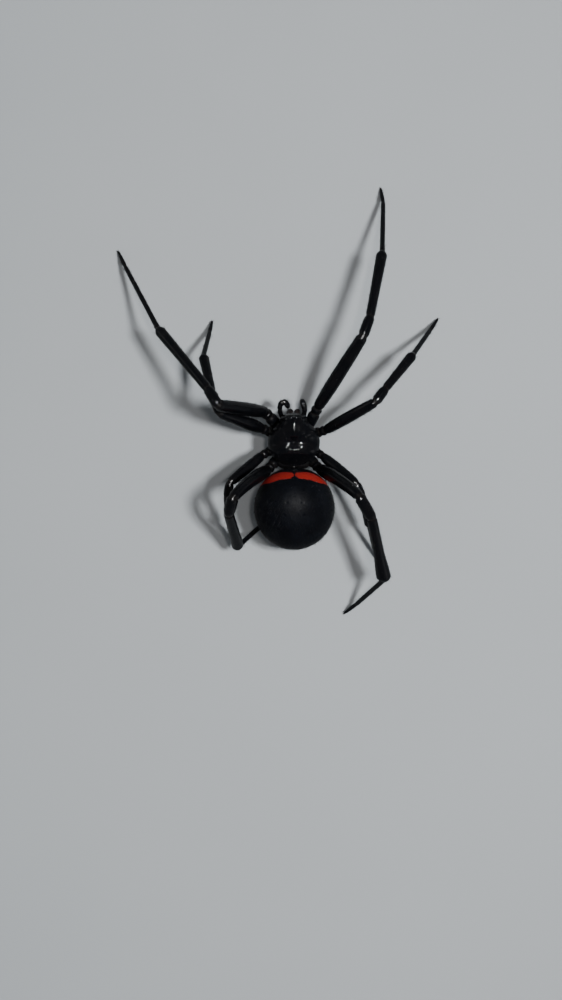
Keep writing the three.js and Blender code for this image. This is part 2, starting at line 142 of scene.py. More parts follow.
# The red band's middle: how far its slit is shifted and slanted, and the radius that turns
# angles into millimetres
BAND_SHIFT = 0.03
BAND_SLANT = 0.05
BAND_RADIUS = 3.22

# The hourglass: its middle, half length, half width at the waist and how much wider its ends are
GLASS_BACK = 4.0
GLASS_HALF = 1.0
GLASS_WAIST = 0.14
GLASS_FLARE = 0.5

# Pits on the top of the abdomen: how far beside its middle, how far back and how wide
PITS = [
    (0.74, 1.92, 0.07), (0.62, 2.95, 0.1), (0.78, 3.95, 0.11), (2.15, 3.75, 0.08),
    (2.1, 5.42, 0.08), (1.08, 5.72, 0.07), (0.0, 2.42, 0.05), (0.0, 4.77, 0.07),
    (1.5, 2.9, 0.06), (1.45, 4.7, 0.06),
]

# Spinnerets: how far beside and behind their middle, half thickness, length, splay out and back.
# Lobes: root and tip from that middle, half thickness and sides
SPINNERETS = {
    "front": (0.17, -0.1, 0.19, 0.6, 0.16, 0),
    "rear": (0.15, 0.19, 0.15, 0.6, 0.14, 0.12),
    "middle": (0.07, 0.05, 0.08, 0.46, 0, 0),
}
LOBES = {
    "small_lobe": ([0, -0.3, -0.02], [0, -0.27, -0.32], [(0, 0.07), (1, 0.03)], 16),
    "rear_lobe": ([0, 0.22, 0.4], [0, 0.52, 0.18], [(0, 0.16), (0.6, 0.15), (1, 0.08)], 20),
}
SPINNERET_TAPER = [(0, 1), (0.3, 1.05), (0.62, 0.86), (0.7, 0.7), (1, 0.42)]

# Legs: thickness shares and joints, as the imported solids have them
LEGS = {
    "left_1": dict(girth=1.06, shank=1.05, flare=1, bow=(0, 0, 0.25), joints=[
        (1.08, -3.05, 2.2), (2.32, -4.34, 3.2), (5.92, -4.61, 8.6), (6.76, -5.97, 8.2),
        (10.77, -10.83, 5.2), (13.73, -16.29, 1.1), (14.4, -17.68, 0)]),
    "right_1": dict(girth=1.04, shank=1.03, flare=1, bow=(0, 0, 0.25), joints=[
        (-1.08, -3.05, 2.2), (-1.94, -4.74, 3.2), (-5.4, -10.12, 7), (-5.97, -11.68, 6.7),
        (-7.03, -17, 4.8), (-7.31, -21.54, 1), (-7.15, -22.82, 0)]),
    "left_2": dict(girth=0.92, shank=0.97, flare=1, hip_swell=0.14, bow=(0, 0, 0.2), joints=[
        (1.1, -2.45, 2.15), (2.56, -3.02, 3.1), (5.84, -4.1, 6.3), (6.5, -5.79, 5.9),
        (7.25, -8.79, 3.9), (6.86, -10.92, 1), (6.68, -11.91, 0)]),
    "right_2": dict(girth=0.92, shank=0.97, flare=1, bow=(0, 0, 0.2), joints=[
        (-1.1, -2.45, 2.15), (-2.59, -2.9, 3.1), (-6.41, -4.98, 6.3), (-7.22, -6.06, 6),
        (-9.51, -8.88, 4.3), (-11.12, -11.08, 1.1), (-11.83, -12.11, 0)]),
    "left_3": dict(girth=0.84, shank=0.86, flare=1, bow=(0, 0, 0), joints=[
        (1.1, -1.7, 2.15), (2.56, -0.85, 2.9), (5.09, 1.34, 4.7), (5.33, 2.47, 4.4),
        (5.1, 4.59, 2.9), (4.79, 6.01, 0.8), (4.64, 6.52, 0)]),
    "right_3": dict(girth=0.84, shank=0.86, flare=1, bow=(0, 0, 0), joints=[
        (-1.1, -1.7, 2.15), (-2.31, -0.81, 2.85), (-4.97, 1.43, 4.7), (-5.45, 2.5, 4.4),
        (-6.09, 4.83, 3.1), (-6.6, 6.74, 0.9), (-6.8, 7.54, 0)]),
    "left_4": dict(girth=0.98, shank=1.15, flare=1, hip_swell=0.1, bow=(0.1, -0.1, 0.5), joints=[
        (0.92, -1.02, 2.2), (2.1, 0.32, 3.15), (4.77, 2.54, 8), (5.14, 3.8, 7),
        (4.51, 6.51, 2.4), (1.96, 4.19, 0.6), (0.95, 3.31, 0)]),
    "right_4": dict(girth=0.98, shank=1.12, flare=1.25, hip_swell=0.1, bow=(-0.1, -0.1, 0.5),
                    joints=[
        (-0.92, -1.02, 2.2), (-2.01, 0.2, 3.2), (-5.06, 2.45, 8), (-6.08, 4.15, 7.4),
        (-7.19, 9.07, 4.7), (-5.12, 11.22, 1.15), (-4.16, 12.04, 0)]),
}
COXA = [(0, 0.34), (0.3, 0.45), (0.62, 0.465), (0.78, 0.42), (0.9, 0.445), (1, 0.41)]
FEMUR = [(0, 0.41), (0.12, 0.475), (0.38, 0.525), (0.75, 0.495), (0.95, 0.44), (1, 0.42)]
PATELLA = [(0, 0.41), (0.5, 0.425), (1, 0.38)]
TIBIA = [(0, 0.36), (0.3, 0.375), (0.8, 0.42), (0.93, 0.43), (1, 0.35)]
METATARSUS = [(0, 0.24), (0.1, 0.215), (0.5, 0.2), (0.95, 0.185), (1, 0.17)]
TARSUS = [(0, 0.16), (0.2, 0.165), (0.75, 0.13), (1, 0.085)]
LEG_PARTS = ("coxa", "femur", "patella", "tibia", "foot")

# Steps along a leg, and how far its line and its thickness are evened out
LEG_STEP = 0.045
LEG_ROUNDING = 0.2
THICKNESS_ROUNDING = 0.06
MEAN_RADIUS = 0.45
LEG_SIDES = 28

# Where the knob lies on the hip segment, as a share of its length
KNOB_PLACE = 0.74

# Where a swollen hip is thickest, as a share of the thigh, and how far it spreads
HIP_PLACE = 0.25
HIP_SPREAD = 1.1

# How far a joint reaches along the leg, and how strongly each is drawn in, from the hip's
# knob to the toe
JOINT_REACH = 0.14
TOE_JOINT_REACH = 0.1
JOINT_STRENGTH = (0.6, 0.8, 1.0, 0.8, 0.9, 0.5)

# Claws of a leg: half thickness, then for each its side, reach and how much lower they start
CLAW_RADII = [(0, 0.026), (0.6, 0.016), (1, 0.005)]
CLAWS = ((1, 0.17, 0.0), (-1, 0.17, 0.0), (0, 0.1, 0.02))

# Feelers and jaws
HANDS = {"left": 1, "right": -1}
PALPS = {
    "left": [(0.8, -3.72, 2.6), (0.99, -4.04, 2.82), (1.11, -4.46, 3.16), (1.09, -4.84, 3.44),
             (0.93, -5.08, 3.58), (0.7, -5.1, 3.6), (0.52, -4.88, 3.48), (0.47, -4.64, 3.3)],
    "right": [(-0.8, -3.72, 2.6), (-0.8, -4.04, 2.82), (-0.87, -4.45, 3.15), (-0.83, -4.76, 3.34),
              (-0.75, -5.02, 3.4), (-0.69, -5.18, 3.22), (-0.64, -5.2, 2.98)],
}
PALP_RADII = [(0, 0.16), (0.1, 0.18), (0.4, 0.19), (0.68, 0.235), (0.9, 0.215), (1, 0.14)]
PALP_JOINTS = (0.13, 0.42, 0.55, 0.7)
PALP_SIDES = 28
JAW_TOP = (0.285, -3.8, 2.85)
JAW_TIP = (0.285, -4.47, 1.77)
JAW_BEND = (0.02, -0.05, 0)
JAW_RADII = [(0, 0.2), (0.15, 0.26), (0.4, 0.278), (0.8, 0.278), (0.94, 0.25), (1, 0.22)]
FANG_ROOT = (0.315, -4.45, 1.84)
FANG_TIP = (0.1, -4.31, 1.36)
FANG_BEND = (0.06, -0.06, -0.03)
FANG_RADII = [(0, 0.1), (0.3, 0.085), (0.75, 0.045), (1, 0.012)]

# Rings of a short limb, and the share of its radius lost at a joint
CONE_RINGS = 40
CONE_PINCH = 0.12

# The stalk between the two body halves, and steps between two points of a curve
CURVE_STEPS = 24
WAIST_RINGS = 7
WAIST_SIDES = 40
WAIST = [(0, -0.75, 3.0), (0, -0.1, 3.12), (0, 0.42, 3.12), (0, 0.95, 3.08)]

# Nothing of the spider is lower than this
FLOOR_CLEAR = 0.004
FLOOR_SIDES = 180

# The camera: place in the spider's millimetres, lens and sensor in millimetres, near end in metres
CAMERA_PLACE = (1.0308, 2.7381, 154.0)
CAMERA_LENS = 67.5
CAMERA_SENSOR = 36.0
CAMERA_NEAR = 0.002

# Lights: place in metres, size or setting of the size, setting of the power, and whether they
# light a surface and show in its gloss
LIGHT_TARGET = (0, 0.002, 0.004)
LIGHTS = {
    "main_light": ((-0.105, 0.01, 0.27), "key_size", "key_power", True, False),
    "gloss_light": ((-0.03, -0.005, 0.3), 0.024, "gloss_power", False, True),
    "fill_light": ((0.25, 0.15, 0.3), 0.4, "fill_power", True, False),
    "side_light_left": ((0.3, -0.12, 0.12), 0.15, "rim_power", True, True),
    "side_light_right": ((-0.3, 0.2, 0.12), 0.15, "rim_power", True, True),
}
SURROUND_COLOUR = (0.86, 0.9, 0.95, 1.0)

# Hard skins: their colour, their colour where they are thin and the share of it that shows,
# roughness from and to, depth of relief in millimetres, and share of mirror light
HARD_SKINS = {
    "black_shell": ("shell", "shell_warm", 1, 0.09, 0.24, 0.004, 0.3),
    "leg_gloss": ("shell", "shell_warm", 1, 0.12, 0.34, 0.005, 0.24),
    "brown_shell": ("shell_warm", "plate", 1, 0.24, 0.5, 0.006, 0.16),
    "soft_skin": ("membrane", "shell_warm", 1, 0.4, 0.7, 0.02, 0.12),
    "fang_horn": ("fang", "fang", 0.4, 0.12, 0.26, 0.004, 0.3),
    "claw_horn": ("shell_warm", "fang", 1, 0.15, 0.3, 0.004, 0.3),
}

# How much duller joints are, and how much glossier the abdomen's pits
JOINT_DULLING = 0.1
PIT_SHINE = -0.3

# Groups and finishes that are made once
SHARED = {}
FINISHES = {}


# Curves and rings of points

def at_shares(pairs, shares):
    """A smooth curve through [share, value] pairs that never overshoots them."""
    xs, ys = np.array(pairs, float).T
    steps = np.diff(xs)
    rises = np.diff(ys) / steps
    slopes = np.zeros_like(xs)
    slopes[0], slopes[-1] = rises[0], rises[-1]
    same_way = rises[:-1] * rises[1:] > 0
    mean = 2 * rises[:-1] * rises[1:] / np.where(same_way, rises[:-1] + rises[1:], 1)
    slopes[1:-1] = np.where(same_way, mean, 0)
    shares = np.clip(shares, xs[0], xs[-1])
    k = np.clip(np.searchsorted(xs, shares, "right") - 1, 0, len(steps) - 1)
    t = (shares - xs[k]) / steps[k]
    return (
        ys[k] * (1 + 2 * t) * (1 - t) ** 2
        + slopes[k] * steps[k] * t * (1 - t) ** 2
        + ys[k + 1] * t * t * (3 - 2 * t)
        + slopes[k + 1] * steps[k] * t * t * (t - 1)
    )


def bump(value, centre, width):
    return np.exp(-(((value - centre) / width) ** 2))


def smooth(value, low, high):
    t = np.clip((value - low) / (high - low), 0, 1)
    return t * t * (3 - 2 * t)


def turns(count):
    """Even turns round a circle, in radians."""
    return np.arange(count) * 2 * np.pi / count


def unit(vectors):
    return vectors / np.maximum(np.linalg.norm(vectors, axis=-1, keepdims=True), 1e-12)


def to_side(sign):
    """What a place on the left is multiplied by to move it to that side."""
    return np.array([sign, 1, 1])


def evenly(points, step):
    """Points at even steps along a polyline, and how far along it each is."""
    points = np.array(points, float)
    along = np.concatenate([[0], np.cumsum(np.linalg.norm(np.diff(points, axis=0), axis=1))])
    count = max(int(along[-1] / step), 8) + 1
    places = np.linspace(0, along[-1], count)
    return np.stack([np.interp(places, along, points[:, k]) for k in range(3)], 1), places


def softened(points, step, spread):
    """The same line with its corners rounded and its ends kept."""
    reach = max(int(3 * spread / step), 1)
    weights = np.exp(-0.5 * (np.arange(-reach, reach + 1) * step / spread) ** 2)
    weights /= weights.sum()
    first = 2 * points[0] - points[reach:0:-1]
    last = 2 * points[-1] - points[-2:-reach - 2:-1]
    padded = np.concatenate([first, points, last])
    return np.stack([np.convolve(padded[:, k], weights, "valid") for k in range(3)], 1)


def through(points):
    """A curve through the points, as a fine polyline."""
    p = np.array(points, float)
    p = np.concatenate([[2 * p[0] - p[1]], p, [2 * p[-1] - p[-2]]])
    t = np.linspace(0, 1, CURVE_STEPS, endpoint=False)[:, None]
    spans = [
        0.5 * (2 * b + (c - a) * t + (2 * a - 5 * b + 4 * c - d) * t * t
               + (3 * b - a - 3 * c + d) * t ** 3)
        for a, b, c, d in zip(p, p[1:], p[2:], p[3:])
    ]
    return np.concatenate(spans + [p[-2:-1]])


def grid_normals(rings):
    """Outward directions of a grid of rings, each ring closed on itself."""
    along = np.gradient(rings, axis=0)
    around = np.roll(rings, -1, 1) - np.roll(rings, 1, 1)
    normals = unit(np.cross(along, around))
    outward = rings - rings.mean(axis=1, keepdims=True)
    return normals * np.where((normals * outward).sum(-1).mean() < 0, -1, 1)


def groove(line, x, y, width):
    """How deep in a groove each place is, from 0 beside it to 1 in it, fading at its far end."""
    line = np.array(line, float)
    total = len(line) - 1
    best = np.zeros_like(x)
    for k in range(total):
        a, d = line[k], line[k + 1] - line[k]
        t = np.clip(((x - a[0]) * d[0] + (y - a[1]) * d[1]) / (d @ d), 0, 1)
        away = np.hypot(x - a[0] - t * d[0], y - a[1] - t * d[1])
        fade = smooth(total - k - t, 0, total * GROOVE_FADE)
        best = np.maximum(best, bump(away, 0, width) * fade)
    return best


# Meshes

def face_corners(*corners):
    """Unwrap places of a row of faces, from the u and v of each corner in turn."""
    pairs = [np.stack(np.broadcast_arrays(u, v), 1) for u, v in corners]
    return np.stack(pairs, 1).reshape(-1, 2)


def ring_skin(name, rings, first_pole, last_pole, marks):
    """A closed smooth skin over rings of points, with an unwrap and named marks on its points."""
    count, sides = rings.shape[:2]
    points = np.concatenate([[first_pole], rings.reshape(-1, 3), [last_pole]])
    ring, side = np.meshgrid(np.arange(count - 1), np.arange(sides), indexing="ij")
    ring, side = ring.ravel(), side.ravel()

    def at(on_ring, on_side):
        return 1 + on_ring * sides + on_side % sides

    edge = np.arange(sides)
    quads = [at(ring, side), at(ring, side + 1), at(ring + 1, side + 1), at(ring + 1, side)]
    first = [np.zeros(sides, int), at(0, edge + 1), at(0, edge)]
    last = [np.full(sides, len(points) - 1), at(count - 1, edge), at(count - 1, edge + 1)]
    faces = [face for kind in (quads, first, last) for face in np.stack(kind, 1).tolist()]
    mesh = bpy.data.meshes.new(name)
    mesh.from_pydata(((points + PLACE) * MM).tolist(), [], faces)
    u, v = edge / sides, np.linspace(0.02, 0.98, count)
    middle, beside = u + 0.5 / sides, u + 1 / sides
    near, far = v[ring], v[ring + 1]
    unwrap = np.concatenate([
        face_corners((u[side], near), (beside[side], near), (beside[side], far), (u[side], far)),
        face_corners((middle, 0.0), (beside, v[0]), (u, v[0])),
        face_corners((middle, 1.0), (u, v[-1]), (beside, v[-1])),
    ])
    layer = mesh.uv_layers.new(name="unwrap")
    layer.uv.foreach_set("vector", unwrap.astype(np.float32).ravel())
    for mark, values in marks.items():
        values = np.broadcast_to(values, rings.shape[:2] + values.shape[2:])
        inner = values.reshape((-1,) + values.shape[2:])
        flat = np.concatenate([[values[0].mean(0)], inner, [values[-1].mean(0)]])
        kind, key = ("FLOAT_VECTOR", "vector") if flat.ndim == 2 else ("FLOAT", "value")
        layer = mesh.attributes.new(mark, kind, "POINT")
        layer.data.foreach_set(key, flat.astype(np.float32).ravel())
    return shown(name, mesh)


def linked(name, data):
    """A new object in the scene."""
    made = bpy.data.objects.new(name, data)
    bpy.context.scene.collection.objects.link(made)
    return made


def shown(name, mesh):
    """A smooth object of that mesh, with its faces turned outwards."""
    turned = bmesh.new()
    turned.from_mesh(mesh)
    bmesh.ops.recalc_face_normals(turned, faces=turned.faces)
    turned.to_mesh(mesh)
    turned.free()
    mesh.shade_smooth()
    return linked(name, mesh)


def joined(name, pieces):
    """One object that holds the meshes of several."""
    whole = bmesh.new()
    for piece in pieces:
        whole.from_mesh(piece.data)
        bpy.data.objects.remove(piece)
    mesh = bpy.data.meshes.new(name)
    whole.to_mesh(mesh)
    whole.free()
    return shown(name, mesh)


def finished(piece, slot, material, *nodes):
    """Gives a piece its finish and its place on the spider's one body."""
    piece.data.materials.clear()
    piece.data.materials.append(material)
    if nodes:
        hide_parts(*nodes)
    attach(piece, "root")
    return piece


def tube(name, centres, radii, sides, above, marks, shape=None):
    """A limb along a line, with above towards its upper side. shape(turn) scales its radius."""
    along = unit(np.gradient(centres, axis=0))
    up = unit(above - (above * along).sum(1, keepdims=True) * along)
    across = np.cross(along, up)
    turn = turns(sides)
    reach = radii[:, None] * (np.ones(sides) if shape is None else shape(turn))
    rings = (
        centres[:, None]
        + reach[..., None] * np.cos(turn)[None, :, None] * across[:, None]
        + reach[..., None] * np.sin(turn)[None, :, None] * up[:, None]
    )
    rings[..., 2] = np.maximum(rings[..., 2], FLOOR_CLEAR)
    first = centres[0] - along[0] * (radii[0] / 2)
    last = centres[-1] + along[-1] * (radii[-1] / 2)
    last[2] = max(last[2], FLOOR_CLEAR)
    return ring_skin(name, rings, first, last, {"lie": round_about(along, sides), **marks})


def round_about(values, sides):
    """One value for each ring of a limb, on all of its sides."""
    return np.repeat(values[:, None], sides, 1)


def domed(radii, count):
    """Radii whose two ends are drawn in, so that the limb closes in a round end."""
    radii = radii.copy()
    draw = np.sin(np.linspace(0.25, 1, count) * np.pi / 2)
    radii[:count] *= draw
    radii[-count:] *= draw[::-1]
    return radii


# Finishes

def add(tree, kind, inputs=None, **settings):
    """A node with its settings, and its inputs set to values or joined to other sockets."""
    made = tree.nodes.new(kind)
    for key, value in settings.items():
        setattr(made, key, value)
    for key, value in (inputs or {}).items():
        if isinstance(value, bpy.types.NodeSocket):
            tree.links.new(value, made.inputs[key])
        else:
            made.inputs[key].default_value = value
    return made


def combine(tree, operation, *values):
    """The result of a sum over numbers and sockets."""
    return add(tree, "ShaderNodeMath", dict(enumerate(values)), operation=operation).outputs[0]


def vector(tree, operation, **inputs):
    """The result of a sum over vectors, from the inputs first, second and scale."""
    keys = {"first": 0, "second": 1, "scale": "Scale"}
    given = {keys[label]: value for label, value in inputs.items()}
    return add(tree, "ShaderNodeVectorMath", given, operation=operation).outputs[0]


def ranged(tree, value, low=0.0, high=1.0, new_low=0.0, new_high=1.0):
    """A value moved from one range into another."""
    return add(tree, "ShaderNodeMapRange", {
        "Value": value, "From Min": low, "From Max": high, "To Min": new_low, "To Max": new_high,
    }).outputs[0]


def marked(tree, name, low=0.0, high=1.0):
    """How far a mark on the mesh is from low to high, from 0 to 1."""
    mark = add(tree, "ShaderNodeAttribute", attribute_name=name)
    return ranged(tree, mark.outputs["Fac"], low, high)


def mix(tree, share, first, second):
    """A colour between two, each a value or a socket."""
    return add(tree, "ShaderNodeMix", {0: share, 6: first, 7: second}, data_type="RGBA").outputs[2]


def opaque(colour, share=1.0):
    """That share of a colour, with full cover."""
    return (*(part * share for part in colour), 1.0)


def group(name, inputs, outputs):
    """An empty shader node group, its sockets, and the object's own place in millimetres."""
    tree = bpy.data.node_groups.new(name, "ShaderNodeTree")
    kind = "NodeSocketFloat"
    for label, value in inputs.items():
        made = tree.interface.new_socket(label, in_out="INPUT", socket_type=kind)
        made.default_value = value
    for label in outputs:
        tree.interface.new_socket(label, in_out="OUTPUT", socket_type=kind)
    given = tree.nodes.new("NodeGroupInput")
    result = tree.nodes.new("NodeGroupOutput")
    place = add(tree, "ShaderNodeTexCoord").outputs["Object"]
    place = vector(tree, "SCALE", first=place, scale=1 / MM)
    return tree, given.outputs, result.inputs, place


def cuticle_relief():
    """Fine cells and low swells of hard skin. Grain, Cells and Swell are counts in a millimetre."""
    counts = {"Grain": 18.0, "Cells": 30.0, "Swell": 1.2}
    tree, given, result, place = group("Cuticle relief", counts, ("Height", "Shade", "Polish"))
    grain = add(tree, "ShaderNodeTexNoise", {
        "Vector": place, "Scale": given["Grain"], "Detail": 3.0, "Roughness": 0.6}).outputs[0]
    cells = add(tree, "ShaderNodeTexVoronoi", {
        "Vector": place, "Scale": given["Cells"]}, feature="SMOOTH_F1").outputs["Distance"]
    swell = add(tree, "ShaderNodeTexNoise", {
        "Vector": place, "Scale": given["Swell"], "Detail": 2.0}).outputs[0]
    tree.links.new(combine(tree, "ADD", grain, cells), result["Height"])
    tree.links.new(ranged(tree, swell, 0.35, 0.7), result["Shade"])
    tree.links.new(combine(tree, "MULTIPLY", grain, swell), result["Polish"])
    return tree


def creases():
    """Narrow folds of soft skin that stretches round a body. Folds is a count in a millimetre."""
    tree, given, result, place = group("Skin creases", {"Folds": 6.0, "Across": 3.0}, ("Height",))
    stretch = add(tree, "ShaderNodeCombineXYZ", {"X": 1.0, "Y": given["Across"], "Z": 1.0})
    drawn = vector(tree, "MULTIPLY", first=place, second=stretch.outputs[0])
    folds = add(tree, "ShaderNodeTexNoise", {
        "Vector": drawn, "Scale": given["Folds"], "Detail": 4.0})
    tree.links.new(folds.outputs[0], result["Height"])
    return tree


def placed(tree, build, **values):
    """The outputs of a shared group in a material. The group is made once."""
    if build not in SHARED:
        SHARED[build] = build()
    made = add(tree, "ShaderNodeGroup", node_tree=SHARED[build])
    for label, value in values.items():
        made.inputs[label].default_value = value
    return made.outputs


def finish_of(name, **constants):
    """A new material with its shader, ready for colours and relief."""
    material = bpy.data.materials.new(name)
    material.use_nodes = True
    shader = material.node_tree.nodes["Principled BSDF"]
    for label, value in constants.items():
        shader.inputs[label.replace("_", " ")].default_value = value
    return material, material.node_tree, shader


def surfaced(tree, shader, colour, rough=None, height=None, depth=0.0):
    """Joins colour, roughness and relief of that depth in millimetres to a shader."""
    tree.links.new(colour, shader.inputs["Base Color"])
    if rough is not None:
        tree.links.new(rough, shader.inputs["Roughness"])
    if height is not None:
        relief = add(tree, "ShaderNodeBump", {
            "Height": height, "Distance": depth * MM, "Strength": 1.0})
        tree.links.new(relief.outputs[0], shader.inputs["Normal"])


def hard_skin(name, colours):
    """Hard skin, browner where it is thin, with dull soft skin at the joints."""
    dark, thin, thin_share, polished, dull, depth, mirror = HARD_SKINS[name]
    material, tree, shader = finish_of(name, Roughness=polished, Specular_IOR_Level=mirror)
    relief = placed(tree, cuticle_relief)
    thin = opaque(getattr(colours, thin), thin_share)
    colour = mix(tree, relief["Shade"], opaque(getattr(colours, dark)), thin)
    joint = marked(tree, "membrane")
    colour = mix(tree, joint, colour, opaque(colours.membrane))
    rough = ranged(tree, relief["Polish"], 0.0, 1.0, polished, dull)
    rough = combine(tree, "MULTIPLY_ADD", joint, JOINT_DULLING, rough)
    surfaced(tree, shader, colour, rough, relief["Height"], depth)
    return material


def abdomen_finish(name, colours):
    """Satin skin with the red band, the red hourglass and the plates of the underside."""
    material, tree, shader = finish_of(name, Roughness=0.42, Specular_IOR_Level=0.05)
    relief = placed(tree, cuticle_relief, Grain=9.0, Cells=22.0, Swell=0.8)
    folds = placed(tree, creases)
    colour = mix(tree, relief["Shade"], opaque(colours.abdomen), opaque(colours.abdomen_pale))
    ragged = combine(tree, "MULTIPLY_ADD", folds["Height"], 0.12, -0.06)
    tints = {"plates": colours.membrane, "band": colours.band, "hourglass": colours.band}
    for label, tint in tints.items():
        mark = add(tree, "ShaderNodeAttribute", attribute_name=label).outputs["Fac"]
        share = ranged(tree, combine(tree, "ADD", mark, ragged), -0.02, 0.025)
        deep = mix(tree, relief["Polish"], opaque(tint), opaque(tint, 0.72))
        colour = mix(tree, share, colour, deep)
    rough = ranged(tree, relief["Polish"], 0.0, 1.0, 0.36, 0.62)
    rough = combine(tree, "MULTIPLY_ADD", marked(tree, "pits"), PIT_SHINE, rough)
    height = combine(tree, "ADD", relief["Height"], folds["Height"])
    surfaced(tree, shader, colour, rough, height, 0.012)
    return material


def bristle_finish(name, colours):
    """Shining dark bristles, rust red where they stand on a red mark."""
    material, tree, shader = finish_of(name, Roughness=0.3, Specular_IOR_Level=0.5)
    relief = placed(tree, cuticle_relief, Grain=3.0)
    colour = mix(tree, relief["Shade"], opaque(colours.bristle), opaque(colours.shell_warm))
    for mark in ("band", "hourglass"):
        colour = mix(tree, marked(tree, mark, 0.0, 0.05), colour, opaque(colours.band, 0.6))
    surfaced(tree, shader, colour, ranged(tree, relief["Polish"], 0.0, 1.0, 0.2, 0.4))
    return material


def eye_finish(name, colours):
    """A wet lens, darker towards its rim; a pale one is partly pearl, partly painted highlight."""
    material, tree, shader = finish_of(
        name, Roughness=0.06, Coat_Weight=1.0, Coat_Roughness=0.05, Coat_IOR=2.3,
        Specular_IOR_Level=1.0)
    relief = placed(tree, cuticle_relief, Grain=14.0)
    rim = colours.shell if name == "eye_dark" else colours.shell_warm
    # On the pale upper middle eyes the lens tint is partly their own pearl and partly a painted
    # highlight, brightest in the lens's middle
    lens_tint = getattr(colours, name)
    lens_tint = mix(tree, relief["Shade"], opaque(lens_tint), opaque(lens_tint, 0.7))
    colour = mix(tree, marked(tree, "lens"), opaque(rim), lens_tint)
    surfaced(tree, shader, colour, ranged(tree, relief["Polish"], 0.0, 1.0, 0.03, 0.09))
    return material


def floor_finish(name, colours):
    """Plain pale board, darker where it is mirrored in the spider."""
    material, tree, shader = finish_of(name, Roughness=0.6, Specular_IOR_Level=0.3)
    relief = placed(tree, cuticle_relief, Grain=1.5, Swell=0.05)
    colour = mix(tree, relief["Shade"], opaque(colours.floor), opaque(colours.floor, 0.97))
    mirrored = add(tree, "ShaderNodeLightPath").outputs["Is Glossy Ray"]
    colour = mix(tree, mirrored, colour, opaque(colours.floor, 0.4))
    surfaced(tree, shader, colour, None, relief["Height"], 0.004)
    return material


OTHER_FINISHES = {
    "abdomen_satin": abdomen_finish, "bristle": bristle_finish, "eye_dark": eye_finish,
    "eye_pale": eye_finish, "pale_floor": floor_finish,
}


def material_for(name):
    """A finish by name, made the first time that it is asked for."""
    if name not in FINISHES:
        build = OTHER_FINISHES.get(name, hard_skin)
        FINISHES[name] = build(name, bpy.context.scene.spider_colours)
    return FINISHES[name]


# Bristles, as a Geometry Nodes tree that sets one shape all over a skin

def bristle_shape():
    """One bristle of unit length and thickness along +Z, bent a little towards +X."""
    levels = [(0.0, 0.8, 0.0), (0.35, 1.0, 0.6), (0.72, 0.6, 2.2)]
    sides = 3
    points, faces, unwrap = [], [], []
    for height, radius, drift in levels:
        for side in range(sides):
            turn = 2 * math.pi * side / sides
            points.append((radius * math.cos(turn) + drift, radius * math.sin(turn), height))
            unwrap.append((side / sides, height))
    points.append((4.5, 0.0, 1.0))
    unwrap.append((0.5, 1.0))
    faces.append(tuple(reversed(range(sides))))
    for level in range(len(levels)):
        for side in range(sides):
            a, b = level * sides + side, level * sides + (side + 1) % sides
            last = level + 1 == len(levels)
            faces.append((a, b, len(points) - 1) if last else (a, b, b + sides, a + sides))
    mesh = bpy.data.meshes.new("bristle_shape")
    mesh.from_pydata(points, [], faces)
    flat = np.array(unwrap, np.float32).ravel()
    mesh.attributes.new("own_unwrap", "FLOAT2", "POINT").data.foreach_set("vector", flat)
    mesh.shade_smooth()
    return bpy.data.objects.new("bristle_shape", mesh)


BRISTLE_INPUTS = {
    "Bristle": "Object", "Count per area": "Float", "Length": "Float", "Thickness": "Float",
    "Lean": "Float", "Spread": "Float", "Seed": "Int", "Finish": "Material",
}

# Shares of the full length that bristles have, the size of their patches of the unwrap, and the
# marks that they don't keep
BRISTLE_LENGTHS = (0.6, 1.15)
UNWRAP_PATCH = 0.003
SPARE_MARKS = ("unwrap", "own_unwrap", "lie", "growth")


